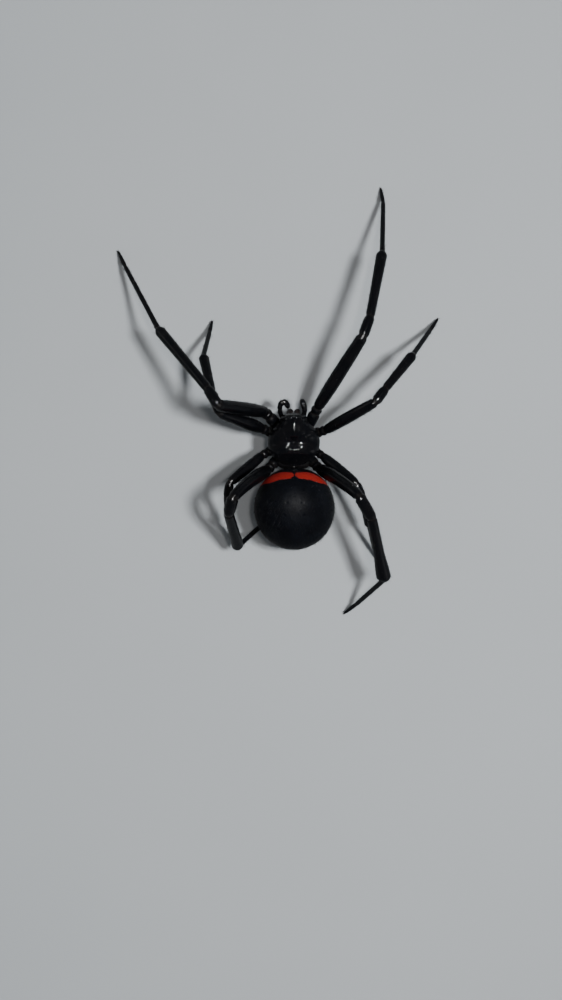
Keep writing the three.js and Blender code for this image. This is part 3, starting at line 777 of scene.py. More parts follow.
def bristle_tree():
    """Bristles that lean along a skin's own lie, each with a small patch of its root's unwrap."""
    tree = bpy.data.node_groups.new("Bristles", "GeometryNodeTree")
    tree.interface.new_socket("Geometry", in_out="INPUT", socket_type="NodeSocketGeometry")
    for label, kind in BRISTLE_INPUTS.items():
        tree.interface.new_socket(label, in_out="INPUT", socket_type="NodeSocket" + kind)
    tree.interface.new_socket("Geometry", in_out="OUTPUT", socket_type="NodeSocketGeometry")
    given = tree.nodes.new("NodeGroupInput").outputs
    result = tree.nodes.new("NodeGroupOutput").inputs

    def named(name, kind):
        made = add(tree, "GeometryNodeInputNamedAttribute", {"Name": name}, data_type=kind)
        return made.outputs["Attribute"]

    def drawn(low, high, seed, kind="FLOAT"):
        made = add(tree, "FunctionNodeRandomValue", data_type=kind)
        inputs = [s for s in made.inputs if s.enabled]
        inputs[0].default_value, inputs[1].default_value = low, high
        tree.links.new(seed, made.inputs["Seed"])
        return next(s for s in made.outputs if s.enabled)

    density = combine(tree, "MULTIPLY", given["Count per area"], named("growth", "FLOAT"))
    roots = add(tree, "GeometryNodeDistributePointsOnFaces", {
        "Mesh": given["Geometry"], "Density": density, "Seed": given["Seed"]})
    lie = named("lie", "FLOAT_VECTOR")
    along = vector(tree, "SCALE", first=lie, scale=given["Lean"])
    chance = drawn((-1.0,) * 3, (1.0,) * 3, given["Seed"], "FLOAT_VECTOR")
    stray = vector(tree, "SCALE", first=chance, scale=given["Spread"])
    leaning = vector(tree, "ADD", first=roots.outputs["Normal"], second=along)
    leaning = vector(tree, "ADD", first=leaning, second=stray)
    way = vector(tree, "NORMALIZE", first=leaning)
    stood = add(tree, "FunctionNodeAlignRotationToVector", {"Vector": way}, axis="Z")
    turned = add(tree, "FunctionNodeAlignRotationToVector", {
        "Rotation": stood.outputs[0], "Vector": lie}, axis="X", pivot_axis="Z")
    seed = combine(tree, "ADD", given["Seed"], 7.0)
    long = combine(tree, "MULTIPLY", given["Length"], drawn(*BRISTLE_LENGTHS, seed))
    size = add(tree, "ShaderNodeCombineXYZ", {
        "X": given["Thickness"], "Y": given["Thickness"], "Z": long}).outputs[0]
    shape = add(tree, "GeometryNodeObjectInfo", {"Object": given["Bristle"]}).outputs["Geometry"]
    set_out = add(tree, "GeometryNodeInstanceOnPoints", {
        "Points": roots.outputs["Points"], "Instance": shape, "Rotation": turned.outputs[0],
        "Scale": size})
    solid = add(tree, "GeometryNodeRealizeInstances", {"Geometry": set_out.outputs[0]}).outputs[0]
    patch = named("own_unwrap", "FLOAT_VECTOR")
    patch = vector(tree, "SCALE", first=patch, scale=UNWRAP_PATCH)
    unwrap = vector(tree, "ADD", first=named("unwrap", "FLOAT_VECTOR"), second=patch)
    store = add(tree, "GeometryNodeStoreNamedAttribute", {
        "Geometry": solid, "Name": "OFBake", "Value": unwrap}, data_type="FLOAT2", domain="CORNER")
    coated = add(tree, "GeometryNodeSetMaterial", {
        "Geometry": store.outputs[0], "Material": given["Finish"]})
    tree.links.new(coated.outputs[0], result["Geometry"])
    return tree


def bristles(name, skin, slot, **values):
    """A coat of bristles on a skin, as a plain mesh on the spider's one body."""
    holder = linked(name + "_roots", skin.data.copy())
    tree = bpy.data.node_groups.get("Bristles") or bristle_tree()
    coat = holder.modifiers.new("Bristles", "NODES")
    coat.node_group = tree
    shape = bpy.data.objects.get("bristle_shape") or bristle_shape()
    finish = material_for("bristle")
    given = {"Bristle": shape, "Finish": finish, **values}
    for item in tree.interface.items_tree:
        if item.in_out == "INPUT" and item.name in given:
            coat[item.identifier] = given[item.name]
    bpy.context.view_layer.update()
    evaluated = holder.evaluated_get(bpy.context.evaluated_depsgraph_get())
    mesh = bpy.data.meshes.new_from_object(evaluated)
    bpy.data.objects.remove(holder)
    if not mesh.polygons:
        raise RuntimeError(f"{name} has no bristles")
    places = np.zeros(len(mesh.vertices) * 3, np.float32)
    mesh.vertices.foreach_get("co", places)
    places[2::3] = np.maximum(places[2::3], FLOOR_CLEAR * MM)
    mesh.vertices.foreach_set("co", places)
    for spare in SPARE_MARKS:
        if spare in mesh.attributes:
            mesh.attributes.remove(mesh.attributes[spare])
    mesh.name = name
    return finished(linked(name, mesh), slot, finish)


# Shapes of the body

def eye_places():
    """Centre and radius of each packed eye, by name, in the spider's millimetres."""
    found = {}
    for name in sorted(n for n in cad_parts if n.startswith("eye_")):
        low, high = (np.array(corner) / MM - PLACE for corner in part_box(name))
        found[name] = (low + high) / 2, (high - low).max() / 2
    return found


def shield_relief(x, y, sizes):
    """How far the shield's top is raised or sunk at a place, in millimetres."""
    side = np.abs(x)
    fade = smooth(y, SHIELD_Y[0], SHIELD_Y[0] + 0.3)
    neck = groove(NECK_GROOVE, side, y, NECK_GROOVE_WIDTH)
    spokes = sum(groove(line, side, y, SPOKE_GROOVE_WIDTH) for line in SPOKE_GROOVES)
    pit = np.exp(-((x - FOVEA[0]) / 0.2) ** 2 - ((y - FOVEA[1]) / 0.13) ** 2)
    hollow = np.exp(-((x - FOVEA[0]) / 0.42) ** 2 - ((y - FOVEA[1] - 0.05) / 0.34) ** 2)
    crest = bump(x, 0, 0.19) * smooth(y, -4.0, -3.7) * (1 - smooth(y, -2.5, -2.1))
    knobs = bump(side, 0.46, 0.13) * bump(y, -2.08, 0.13)
    saddle = bump(np.hypot(x / 1.3, y + 1.86), 0.6, 0.16) * smooth(y, -1.75, -1.5)
    return fade * (
        sizes.crest / MM * (crest + 0.9 * knobs + 0.6 * saddle)
        - sizes.groove_depth / MM * (neck + 0.6 * np.minimum(spokes, 1))
        - sizes.pit_depth / MM * (0.65 * pit + 0.35 * hollow)
    )


def build_shield(sizes):
    """The front body's shield with its head, grooves, pit and rolled edge."""
    place = np.linspace(0, 1, SHIELD_GRID[0])
    turn = turns(SHIELD_GRID[1])
    y = SHIELD_Y[0] + place * (SHIELD_Y[1] - SHIELD_Y[0])
    half = at_shares(SHIELD_WIDTH, place) * SHIELD_HALF_WIDTH
    rise = at_shares(SHIELD_RISE, place) * (SHIELD_TOP_Z - SHIELD_EDGE_Z)
    under = SHIELD_UNDER_DEPTH + 0.17 * (1 - smooth(place, 0, 0.16))
    height = np.sin(turn)
    rings = np.zeros((len(place), len(turn), 3))
    rim = 1 + sizes.rim / MM / 2 * bump(height, 0.02, 0.09)
    rings[..., 0] = -half[:, None] * (np.cos(turn) * rim)[None]
    rings[..., 1] = y[:, None]
    rings[..., 2] = SHIELD_EDGE_Z + np.where(height > 0, rise[:, None], under[:, None]) * height
    out = grid_normals(rings)
    top = smooth(height, 0.02, 0.25)[None]
    lift = top * shield_relief(rings[..., 0], rings[..., 1], sizes)
    for centre, radius in eye_places().values():
        away = np.linalg.norm(rings - centre, axis=-1)
        lift += EYE_SOCKET * bump(away, radius * 0.9, radius * 0.75)
    rings += out * lift[..., None]
    ends = []
    for end, way in ((0, -1), (-1, 1)):
        core = rings[end].mean(0)
        core[2] = SHIELD_EDGE_Z + 0.1
        shares = np.linspace(*SHIELD_CAP_SHARES)[:, None]
        closing = core + (rings[end] - core) * shares[..., None]
        closing[..., 1] += way * SHIELD_CAP * (1 - shares ** 2)
        pole = core + np.array([0, way * SHIELD_CAP, 0])
        ends.append((closing if way > 0 else closing[::-1], pole))
    rings = np.concatenate([ends[0][0], rings, ends[1][0]])
    soft = (1 - smooth(rings[..., 2], 3.2, 3.4)) * smooth(rings[..., 1], -4.0, -3.8)
    lie = np.zeros_like(rings)
    lie[..., 1] = 1.0
    lie[..., 0] = 0.4 * np.sign(rings[..., 0])
    growth = smooth(rings[..., 2], 3.4, 3.6) * (1 - 0.75 * bump(rings[..., 0], 0, 0.9))
    bare = []
    for centre, radius in eye_places().values():
        bare.append(smooth(np.linalg.norm(rings - centre, axis=-1), radius * 1.1, radius * 1.5))
    growth *= np.min(bare, axis=0)
    marks = {"membrane": soft, "lie": lie, "growth": growth}
    return ring_skin("shield", rings, ends[0][1], ends[1][1], marks)


def lump(name, centre, radii, rings, sides, shape=None):
    """A closed rounded body with its poles fore and aft. shape(directions) moves its surface."""
    turn = (np.arange(rings) + 0.5) / rings * np.pi
    round_ = turns(sides)
    way = np.stack([
        -np.sin(turn)[:, None] * np.cos(round_), -np.cos(turn)[:, None] * np.ones(sides),
        np.sin(turn)[:, None] * np.sin(round_)], -1)
    poles = np.array([[[0.0, -1.0, 0.0]], [[0.0, 1.0, 0.0]]])
    points, *ends = (
        np.array(centre) + (shape(part) if shape else part) * np.array(radii)
        for part in (way, *poles))
    first, last = (end[0] for end in ends)
    lie = np.zeros_like(points)
    lie[..., 1] = 1.0
    marks = {"lie": lie, "growth": np.ones(points.shape[:2])}
    return ring_skin(name, points, first, last, marks)


def build_flank():
    """Soft skin between the shield and the plate below."""
    def wrinkled(way):
        fold = 1 + 0.018 * np.sin(22 * way[..., 2:]) * np.cos(9 * way[..., 1:2])
        back = np.maximum(way[..., 1:2], 0)
        blunt = np.sqrt((1 - back ** 8) / np.maximum(1 - back ** 2, 1e-6))
        broad = blunt * (1 + FLANK_REAR_BREADTH * smooth(back, 0.0, 1.0))
        longer = 1 + (FLANK_REAR_REACH - 1) * smooth(back, 0.2, 0.9)
        longer = longer + (FLANK_FRONT_REACH - 1) * smooth(-way[..., 1:2], 0.3, 1.0)
        return way * fold * np.concatenate([broad, longer, blunt], -1)
    return lump("front_body_flank", FLANK_CENTRE, FLANK_RADII, 80, 100, wrinkled)


def build_sternum():
    """The heart-shaped plate between the leg roots, and the mouth plates before it."""
    def heart(way):
        back = way[..., 1:2]
        side = 1 - STERNUM_TAPER * back - 0.05 * np.sin(9 * back) ** 2
        rim = 1 + 0.06 * bump(np.abs(way[..., 2:]), 0.12, 0.12)
        return way * np.concatenate([side * rim, np.ones_like(side) * rim, np.ones_like(side)], -1)
    plate = lump("sternum_plate", STERNUM_CENTRE, STERNUM_RADII, 80, 96, heart)
    made = [lump("lip", *LIP, 24, 32)]
    place, radii = MOUTH_PLATE
    for hand, sign in HANDS.items():
        def leaning(way, sign=sign):
            lean = np.array([-sign * MOUTH_PLATE_LEAN, 0, 0])
            return way + lean * smooth(-way[..., 1:2], 0, 1)
        made.append(lump(f"mouth_plate_{hand}", place * to_side(sign), radii, 32, 40, leaning))
    return plate, joined("mouth_plates", made)


def build_eye(name, centre, radius):
    """A lens with a mark that is 1 at its middle and 0 at its rim."""
    outward = unit(centre - np.array(HEAD_CENTRE))
    turn = (np.arange(EYE_GRID[0]) + 0.5) / EYE_GRID[0] * np.pi
    round_ = turns(EYE_GRID[1])
    side = unit(np.cross(outward, [0, 0, 1.0]))
    other = np.cross(outward, side)
    ring = np.cos(round_)[:, None] * side + np.sin(round_)[:, None] * other
    way = np.cos(turn)[:, None, None] * outward + np.sin(turn)[:, None, None] * ring[None]
    reach = radius * EYE_SHARE
    lens = smooth(np.cos(turn), 0.3, 0.9)[:, None] * np.ones(EYE_GRID[1])
    return ring_skin(name + "_lens", centre + reach * way, centre + reach * outward,
                     centre - reach * outward, {"lens": lens})


def abdomen_place(turn, around):
    """A place on the abdomen, from its front pole at turn 0 to its rear one at pi."""
    wide, long, high = ABDOMEN_RADII
    place = ABDOMEN_CENTRE + np.stack([
        -wide * np.sin(turn) * np.cos(around),
        -long * np.cos(turn) * np.ones_like(around),
        ABDOMEN_TILT * np.sin(2 * turn) + high * np.sin(turn) * np.sin(around)], -1)
    outward = place - ABDOMEN_CENTRE
    away = np.arccos(np.clip(unit(outward) @ SPINNERET_WAY, -1, 1)) / ABDOMEN_POINT_SPREAD
    return place + outward * (ABDOMEN_POINT * np.exp(-away ** 2))[..., None]


def degrees_from(points, way):
    """The angle between the ways from the abdomen's middle to each point and that way."""
    shares = unit(points - ABDOMEN_CENTRE) @ unit(np.array(way))
    return np.degrees(np.arccos(np.clip(shares, -1, 1)))


def on_underside(points, mark):
    """A mark that shows on the underside of the abdomen alone."""
    return np.where(points[..., 2] < ABDOMEN_CENTRE[2] - 1, mark, -1)


def band_mark(points):
    """How far inside the red band a place is, in millimetres; outside it is below 0."""
    way = unit(points - ABDOMEN_CENTRE)
    angle = np.degrees(np.arccos(np.clip(way @ BAND_AXIS, -1, 1)))
    upward = np.cross([1.0, 0, 0], BAND_AXIS)
    upward = upward * np.sign(upward[2])
    turn = np.degrees(np.abs(np.arctan2(way[..., 0], way @ upward)))
    inside = np.minimum(angle - at_shares(BAND_FRONT, turn), at_shares(BAND_REAR, turn) - angle)
    x = np.abs(points[..., 0] + BAND_SHIFT + BAND_SLANT * (points[..., 1] - 0.7))
    gap = 0.04 + 0.32 * smooth(angle, 59, 68) ** 1.4 + 0.1 * (1 - smooth(angle, 53, 58))
    return np.minimum(np.radians(inside) * BAND_RADIUS, x - gap)


def hourglass_mark(points):
    """How far inside the hourglass on the underside a place is, in millimetres."""
    along = np.abs(points[..., 1] - GLASS_BACK)
    half = GLASS_WAIST + GLASS_FLARE * smooth(along, 0.05, 0.95)
    inside = np.minimum(half - np.abs(points[..., 0] + 0.04), GLASS_HALF - along)
    return on_underside(points, inside)


def plate_mark(points):
    """The hard plates of the underside: a round one behind the waist and the lung covers."""
    x, y = points[..., 0] + 0.04, points[..., 1]
    middle = 0.26 - np.hypot(x / 1.5, y - 2.35)
    lungs = 0.34 - np.hypot((np.abs(x) - 0.95) / 1.25, (y - 2.05) / 0.9)
    return on_underside(points, np.maximum(middle, lungs))


def build_abdomen(sizes):
    """The round abdomen with its pits, front folds, markings and lie of the coat."""
    turn = (np.linspace(0.004, 0.996, ABDOMEN_GRID[0]) * np.pi)[:, None]
    around = turns(ABDOMEN_GRID[1])[None]
    rings = abdomen_place(turn + 0 * around, around + 0 * turn)
    out = grid_normals(rings)
    x, y, z = (rings[..., k] for k in range(3))
    upper, lower = smooth(z, 4.5, 5.5), 1 - smooth(z, 1.6, 2.6)
    lift, pits = np.zeros_like(x), np.zeros_like(x)
    for side, back, width in PITS:
        away = np.hypot(np.abs(x + 0.04) - side, y - back)
        pits = np.maximum(pits, upper * bump(away, 0, width))
        lift -= upper * sizes.abdomen_pit_depth / MM * width / 0.1 * bump(away, 0, width)
    furrow = bump(y - 2.62 + 0.12 * x * x, 0, 0.07) * (1 - smooth(np.abs(x), 1.0, 1.5))
    lift -= lower * 0.05 * furrow
    lift += lower * 0.06 * smooth(plate_mark(rings), -0.05, 0.12)
    near = degrees_from(rings, WAIST_WAY)
    folds = 0.6 + 0.4 * np.cos(9 * np.arctan2(x, z - 3))
    lift -= sizes.fold_depth / MM * bump(near, 14, 9) * folds
    for sign in (-1, 1):
        turned = degrees_from(rings, SHOULDER_WAY * to_side(sign))
        lift += sizes.shoulder_lift / MM * bump(turned, 0, SHOULDER_SPREAD)
    swell = 0.5 * np.sin(3.1 * x + 1.7 * y) * np.sin(2.3 * z - 1.1 * x)
    swell = swell + 0.5 * np.sin(2.7 * y - 1.9 * z + 0.4)
    lift += ABDOMEN_SWELL * swell
    rings += out * lift[..., None]
    way = unit(rings - ABDOMEN_CENTRE)
    lie = unit(SPINNERET_WAY - (way @ SPINNERET_WAY)[..., None] * way)
    band, glass, plates = band_mark(rings), hourglass_mark(rings), plate_mark(rings)
    growth = (1 - 0.8 * smooth(plates, -0.1, 0.1)) * smooth(near, 12, 20)
    growth *= smooth(np.arccos(np.clip(way @ SPINNERET_WAY, -1, 1)), 0.12, 0.2)
    growth *= 1 - 0.8 * smooth(np.maximum(band, glass), -0.06, 0.04)
    marks = {
        "band": band, "hourglass": glass, "plates": plates, "pits": pits, "lie": lie,
        "growth": growth,
    }
    return ring_skin("abdomen_skin", rings, rings[0].mean(0), rings[-1].mean(0), marks)


def build_waist():
    """The narrow stalk between the two body halves, ringed by small plates."""
    centres, along = evenly(through(WAIST), 0.02)
    place = along / along[-1]
    rings = np.cos(place * 2 * np.pi * WAIST_RINGS)
    radii = 0.27 + 0.025 * rings + 0.06 * bump(place, 0.52, 0.12)
    above = np.tile([0.0, 0, 1], (len(centres), 1))
    soft = round_about(0.5 - 0.5 * rings, WAIST_SIDES)
    return tube("waist_stalk", centres, radii, WAIST_SIDES, above, {"membrane": soft})


def cone(name, root, tip, radii, sides, bend=(0, 0, 0), joints=()):
    """A short tapered limb from root to tip, bowed by an offset, pinched at its joints."""
    root, tip = np.array(root, float), np.array(tip, float)
    place = np.linspace(0, 1, CONE_RINGS)
    bow = (4 * place * (1 - place))[:, None]
    centres = root + (tip - root) * place[:, None] + np.array(bend) * bow
    thick = at_shares(radii, place)
    for joint in joints:
        thick = thick * (1 - CONE_PINCH * bump(place, joint, 0.035))
    soft = np.max([0 * place, *(bump(place, joint, 0.04) for joint in joints)], axis=0)
    above = np.tile(np.cross(tip - root, [1.0, 0, 0]) + 1e-3, (CONE_RINGS, 1))
    growth = round_about(smooth(place, 0.1, 0.3), sides)
    marks = {"membrane": round_about(soft, sides), "growth": growth}
    return tube(name, centres, domed(thick, 5), sides, above, marks)


def build_spinnerets():
    """Six two-jointed spinnerets, the small lobe before them and the one over them."""
    search = np.linspace(1.8, 3.0, 60), np.linspace(3.6, 5.8, 120)
    places = abdomen_place(*np.meshgrid(*search, indexing="ij")).reshape(-1, 3)
    ways = unit(places - ABDOMEN_CENTRE) @ SPINNERET_WAY
    seat = places[ways.argmax()]
    lean = unit(np.array([0.0, 0.35, -1.0]))
    made = []
    for label, (side, back, radius, reach, *splay) in SPINNERETS.items():
        radii = [(place, radius * share) for place, share in SPINNERET_TAPER]
        for sign in (1, -1):
            root = seat + np.array([sign * side, back, back * 0.69]) - lean * 0.16
            way = unit(lean + np.array([-sign * splay[0] * 0.5, splay[1], 0]))
            tip = root + way * (reach + 0.14)
            made.append(cone(f"spinneret_{label}_{sign}", root, tip, radii, 24, joints=(0.66,)))
    for name, (start, end, radii, sides) in LOBES.items():
        made.append(cone(name, seat + start, seat + end, radii, sides))
    return joined("spinneret_group", made)


def build_jaw(hand):
    """A jaw and its folded fang."""
    flip = to_side(HANDS[hand])
    jaw = cone(f"jaw_{hand}", JAW_TOP * flip, JAW_TIP * flip, JAW_RADII, 40, JAW_BEND * flip)
    fang = cone(f"fang_{hand}", FANG_ROOT * flip, FANG_TIP * flip, FANG_RADII, 20, FANG_BEND * flip)
    return jaw, fang


def build_palp(hand):
    """A feeler with its joints, and its small claw."""
    centres, along = evenly(through(PALPS[hand]), 0.03)
    place = along / along[-1]
    radii = at_shares(PALP_RADII, place)
    soft = np.max([bump(place, j, 0.02) for j in PALP_JOINTS], axis=0)
    radii = domed(radii * (1 - 0.16 * soft), 6)
    above = np.tile([0.0, -0.3, 1.0], (len(centres), 1))
    growth = round_about(smooth(place, 0.12, 0.5), PALP_SIDES)
    marks = {"membrane": round_about(soft, PALP_SIDES), "growth": growth}
    skin = tube(f"feeler_{hand}", centres, radii, PALP_SIDES, above, marks)
    ahead = unit(centres[-1] - centres[-6])
    claw = cone(f"feeler_claw_{hand}", centres[-1] - ahead * 0.03, centres[-1] + ahead * 0.12,
                [(0, 0.03), (1, 0.006)], 10, (0, 0, 0.02))
    return skin, claw


# Shapes of the legs

def leg_line(leg):
    """The middle line of a leg from its root to its claws, and where its joints are along it."""
    root, hip, knee, shin, heel, ankle, tip = (np.array(p, float) for p in leg["joints"])
    knob = root + (hip - root) * KNOB_PLACE
    control = (hip + knee) / 2 + 2 * np.array(leg["bow"])
    t = np.linspace(0, 1, 60)[:, None]
    femur = hip * (1 - t) ** 2 + 2 * control * t * (1 - t) + knee * t * t
    toe = tip + np.array([0, 0, TARSUS[-1][1] + 0.02])
    ends = [root, knob, hip, knee, shin, heel, ankle, toe]
    lines = [np.array(pair) for pair in zip(ends, ends[1:])]
    lines[2] = femur
    lengths = [np.linalg.norm(np.diff(line, axis=0), axis=1).sum() for line in lines]
    return np.concatenate([line[:-1] for line in lines] + [[toe]]), np.cumsum(lengths)


def leg_radii(leg, along, joints):
    """Half thickness along a leg, before its joints are pinched."""
    girth, shank, flare = leg["girth"], leg["shank"], leg["flare"]
    coxa_end, femur_end, patella_end, tibia_end, meta_end, end = joints[1:]
    spans = [
        (0, coxa_end, COXA, girth), (coxa_end, femur_end, FEMUR, girth),
        (femur_end, patella_end, PATELLA, shank), (patella_end, tibia_end, TIBIA, shank),
        (tibia_end, meta_end, METATARSUS, 1), (meta_end, end, TARSUS, 1),
    ]
    radii = np.zeros_like(along)
    for low, high, profile, share in spans:
        inside = (along >= low - 1e-9) & (along <= high + 1e-9)
        place = (along[inside] - low) / (high - low)
        widened = 1 + (flare - 1) * smooth(place, 0.5, 1) if profile is TIBIA else 1
        radii[inside] = at_shares(profile, place) * share * widened
    hip = coxa_end + HIP_PLACE * (femur_end - coxa_end)
    return radii * (1 + leg.get("hip_swell", 0) * bump(along, hip, HIP_SPREAD))


def build_leg(name, sizes):
    """A leg's whole skin from its root to its tip, and the line of its tip."""
    leg = LEGS[name]
    line, joints = leg_line(leg)
    centres, along = evenly(line, LEG_STEP)
    centres = softened(centres, LEG_STEP, LEG_ROUNDING)
    radii = np.stack([leg_radii(leg, along, joints)] * 3, 1)
    radii = softened(radii, LEG_STEP, THICKNESS_ROUNDING)[:, 0]
    radii = radii * (1 - sizes.inset / MM / MEAN_RADIUS)
    under, lips, soft = np.zeros((3, len(along)))
    for joint, share in zip(joints[:-1], JOINT_STRENGTH):
        reach = TOE_JOINT_REACH if share < 0.6 else JOINT_REACH
        before = bump(along, joint - 2.1 * reach, reach)
        after = bump(along, joint + 2.0 * reach, reach)
        under = np.maximum(under, share * bump(along, joint, reach))
        lips += share * (before + 0.7 * after)
        soft = np.maximum(soft, bump(along, joint, reach * 0.9))

    def shape(turn):
        below = (1 - np.sin(turn)) / 2
        pinch = sizes.pinch_above + (sizes.pinch_below - sizes.pinch_above) * below
        rim = sizes.rim * (0.6 + 0.4 * below)
        return 1 - under[:, None] * pinch[None] + lips[:, None] * rim[None]

    low = (np.array(leg["joints"][0]) + np.array(leg["joints"][-1])) / 2
    low[2] = 0
    above = centres - low
    growth = smooth(along, joints[0], joints[1] + 0.3) * (1 - 0.8 * soft)
    growth *= 1 + 0.8 * smooth(along, joints[4], joints[5])
    marks = {"membrane": round_about(soft, LEG_SIDES), "growth": round_about(growth, LEG_SIDES)}
    skin = tube(f"leg_{name}_skin", centres, domed(radii, 3), LEG_SIDES, above, marks, shape)
    return skin, centres[-8:]


def build_claws(name, toe):
    """Two curved claws and a small middle hook at a leg's tip."""
    ahead = unit(toe[-1] - toe[0])
    flat = unit(ahead * [1, 1, 0])
    side = np.array([flat[1], -flat[0], 0.0])
    made = []
    for sign, reach, drop in CLAWS:
        root = toe[-1] - ahead * 0.03 + side * sign * 0.035
        tip = root + flat * reach + side * sign * 0.03
        root[2], tip[2] = max(root[2] - drop, 0.03), 0.012
        made.append(cone(f"claw_{sign}", root, tip, CLAW_RADII, 10, (0, 0, 0.045)))
    return joined(f"leg_{name}_claws", made)


# Floor, light and camera

def lay_floor(radius):
    """A flat round floor at the height of the spider's feet."""
    mesh = bpy.data.meshes.new("floor")
    turn = turns(FLOOR_SIDES)
    edge = np.stack([np.cos(turn), np.sin(turn), 0 * turn], 1) * radius
    mesh.from_pydata(edge.tolist(), [], [tuple(range(FLOOR_SIDES))])
    floor = linked("floor", mesh)
    mesh.materials.append(material_for("pale_floor"))


def set_light(name, place, size, power, lights, shows):
    """A round light that points at the spider."""
    light = bpy.data.lights.new(name, "AREA")
    light.shape, light.size, light.energy = "DISK", size, power
    lamp = linked(name, light)
    lamp.location = place
    lamp.visible_diffuse, lamp.visible_glossy = lights, shows
    way = Vector(LIGHT_TARGET) - lamp.location
    lamp.rotation_euler = way.to_track_quat("-Z", "Y").to_euler()


def set_surround(scene, horizon, overhead):
    """A pale surround that is darker right above."""
    scene.world = bpy.data.worlds.new("pale_surround")
    scene.world.use_nodes = True
    tree = scene.world.node_tree
    surround = tree.nodes["Background"]
    surround.inputs["Color"].default_value = SURROUND_COLOUR
    way = add(tree, "ShaderNodeTexCoord").outputs["Generated"]
    height = add(tree, "ShaderNodeSeparateXYZ", {0: way}).outputs["Z"]
    glow = ranged(tree, height, 0.0, 1.0, horizon, overhead)
    tree.links.new(glow, surround.inputs["Strength"])


def set_camera(scene):
    """The camera straight above, with the head of the spider at the foot of the picture."""
    camera = bpy.data.cameras.new("camera")
    camera.lens, camera.sensor_width = CAMERA_LENS, CAMERA_SENSOR
    camera.clip_start = CAMERA_NEAR
    scene.camera = linked("camera", camera)
    scene.camera.location = [float(v) for v in (np.array(CAMERA_PLACE) + PLACE) * MM]
    scene.camera.rotation_euler = (0, 0, math.pi)


# Settings, as sizes in metres and colours

def number(name, description, default, **kind):
    return FloatProperty(name=name, description=description, default=default, **kind)


def length(name, description, default):
    return number(name, description, default, subtype="DISTANCE", unit="LENGTH")


def factor(name, description, default):
    return number(name, description, default, subtype="FACTOR")


def watts(name, description, default):
    return number(name, description, default, unit="POWER")


def swatch(name, description, default):
    return FloatVectorProperty(
        name=name, description=description, default=default, subtype="COLOR", size=3,
        min=0.0, max=1.0)


class SpiderBodySizes(bpy.types.PropertyGroup):
    """Relief of the front body and the abdomen"""

    crest: length("Head crest", "Height of the low ridge along the head", 0.05 * MM)
    groove_depth: length("Groove depth", "Depth of the grooves on the shield", 0.032 * MM)
    pit_depth: length("Pit depth", "Depth of the pit in the middle of the shield", 0.16 * MM)
    rim: length("Shield rim", "How far the shield's rolled edge stands out", 0.03 * MM)
    abdomen_pit_depth: length(
        "Abdomen pit depth", "Depth of the larger pits on the abdomen", 0.03 * MM)
    shoulder_lift: length(
        "Abdomen shoulders", "How full the abdomen's front corners are", 0.06 * MM)
    fold_depth: length("Fold depth", "Depth of the folds round the waist", 0.04 * MM)


class SpiderLegSizes(bpy.types.PropertyGroup):
    """How the leg joints are drawn in"""

    inset: length("Inset", "How far the skin lies inside the packed solids", 0.008 * MM)
    pinch_above: factor("Pinch above", "Share of the radius lost over a joint", 0.08)
    pinch_below: factor("Pinch below", "Share of the radius lost under a joint", 0.26)
    rim: factor("Joint rim", "Share of the radius that a joint's rim stands out", 0.035)


class SpiderCoatSizes(bpy.types.PropertyGroup):
    """Length, thickness and number of the bristles"""

    body_length: length("Abdomen bristle length", "Longest bristle on the abdomen", 0.3 * MM)
    down_length: length("Abdomen down length", "Longest fine hair on the abdomen", 0.16 * MM)
    leg_length: length("Leg bristle length", "Longest bristle on the legs", 0.27 * MM)
    shield_length: length("Shield bristle length", "Longest bristle on the shield", 0.13 * MM)
    thickness: length("Bristle thickness", "Half thickness of a bristle at its root", 0.0075 * MM)
    body_count: number(
        "Abdomen bristles", "Bristles in a square millimetre of the abdomen", 20.0)
    down_count: number("Abdomen down", "Fine hairs in a square millimetre of the abdomen", 30.0)
    leg_count: number("Leg bristles", "Bristles in a square millimetre of a leg", 15.0)
    shield_count: number("Shield bristles", "Bristles in a square millimetre of the shield", 14.0)
    feeler_count: number("Feeler bristles", "Bristles in a square millimetre of a feeler", 34.0)
    jaw_count: number("Jaw bristles", "Bristles in a square millimetre of a jaw", 20.0)
    spinneret_count: number(
        "Spinneret bristles", "Bristles in a square millimetre of a spinneret", 30.0)
    seed: IntProperty(name="Seed", description="Changes where the bristles stand", default=11)


class SpiderColours(bpy.types.PropertyGroup):
    """Colours of the finishes"""

    shell: swatch("Shell", "Black of the hard skin", (0.0022, 0.0027, 0.004))
    shell_warm: swatch("Thin shell", "Brown black of thin hard skin", (0.0046, 0.0044, 0.0054))
    plate: swatch("Plates", "Red brown of the jaws", (0.022, 0.008, 0.006))
    membrane: swatch(
        "Joint skin", "Dull brown of the soft skin at the joints", (0.0065, 0.0055, 0.0055))
    abdomen: swatch("Abdomen", "Blue black of the abdomen", (0.0028, 0.0032, 0.0048))
    abdomen_pale: swatch(
        "Abdomen, paler", "Paler blotches of the abdomen", (0.005, 0.006, 0.009))
    band: swatch("Red marks", "Red of the front band and the hourglass", (0.345, 0.021, 0.016))
    bristle: swatch("Bristles", "Black of the bristles", (0.003, 0.003, 0.004))
    fang: swatch("Fangs", "Dark red of the fangs", (0.05, 0.009, 0.006))
    eye_dark: swatch("Dark eyes", "Brown black of the other six eyes", (0.01, 0.008, 0.008))
    # Partly the pearl of these eyes and partly a painted highlight: paler than their pearl, so that
    # they show as bright dots
    eye_pale: swatch("Pale eyes", "Pearl of the upper middle eyes", (0.34, 0.345, 0.37))
    floor: swatch("Floor", "Pale grey of the floor", (0.44, 0.47, 0.49))


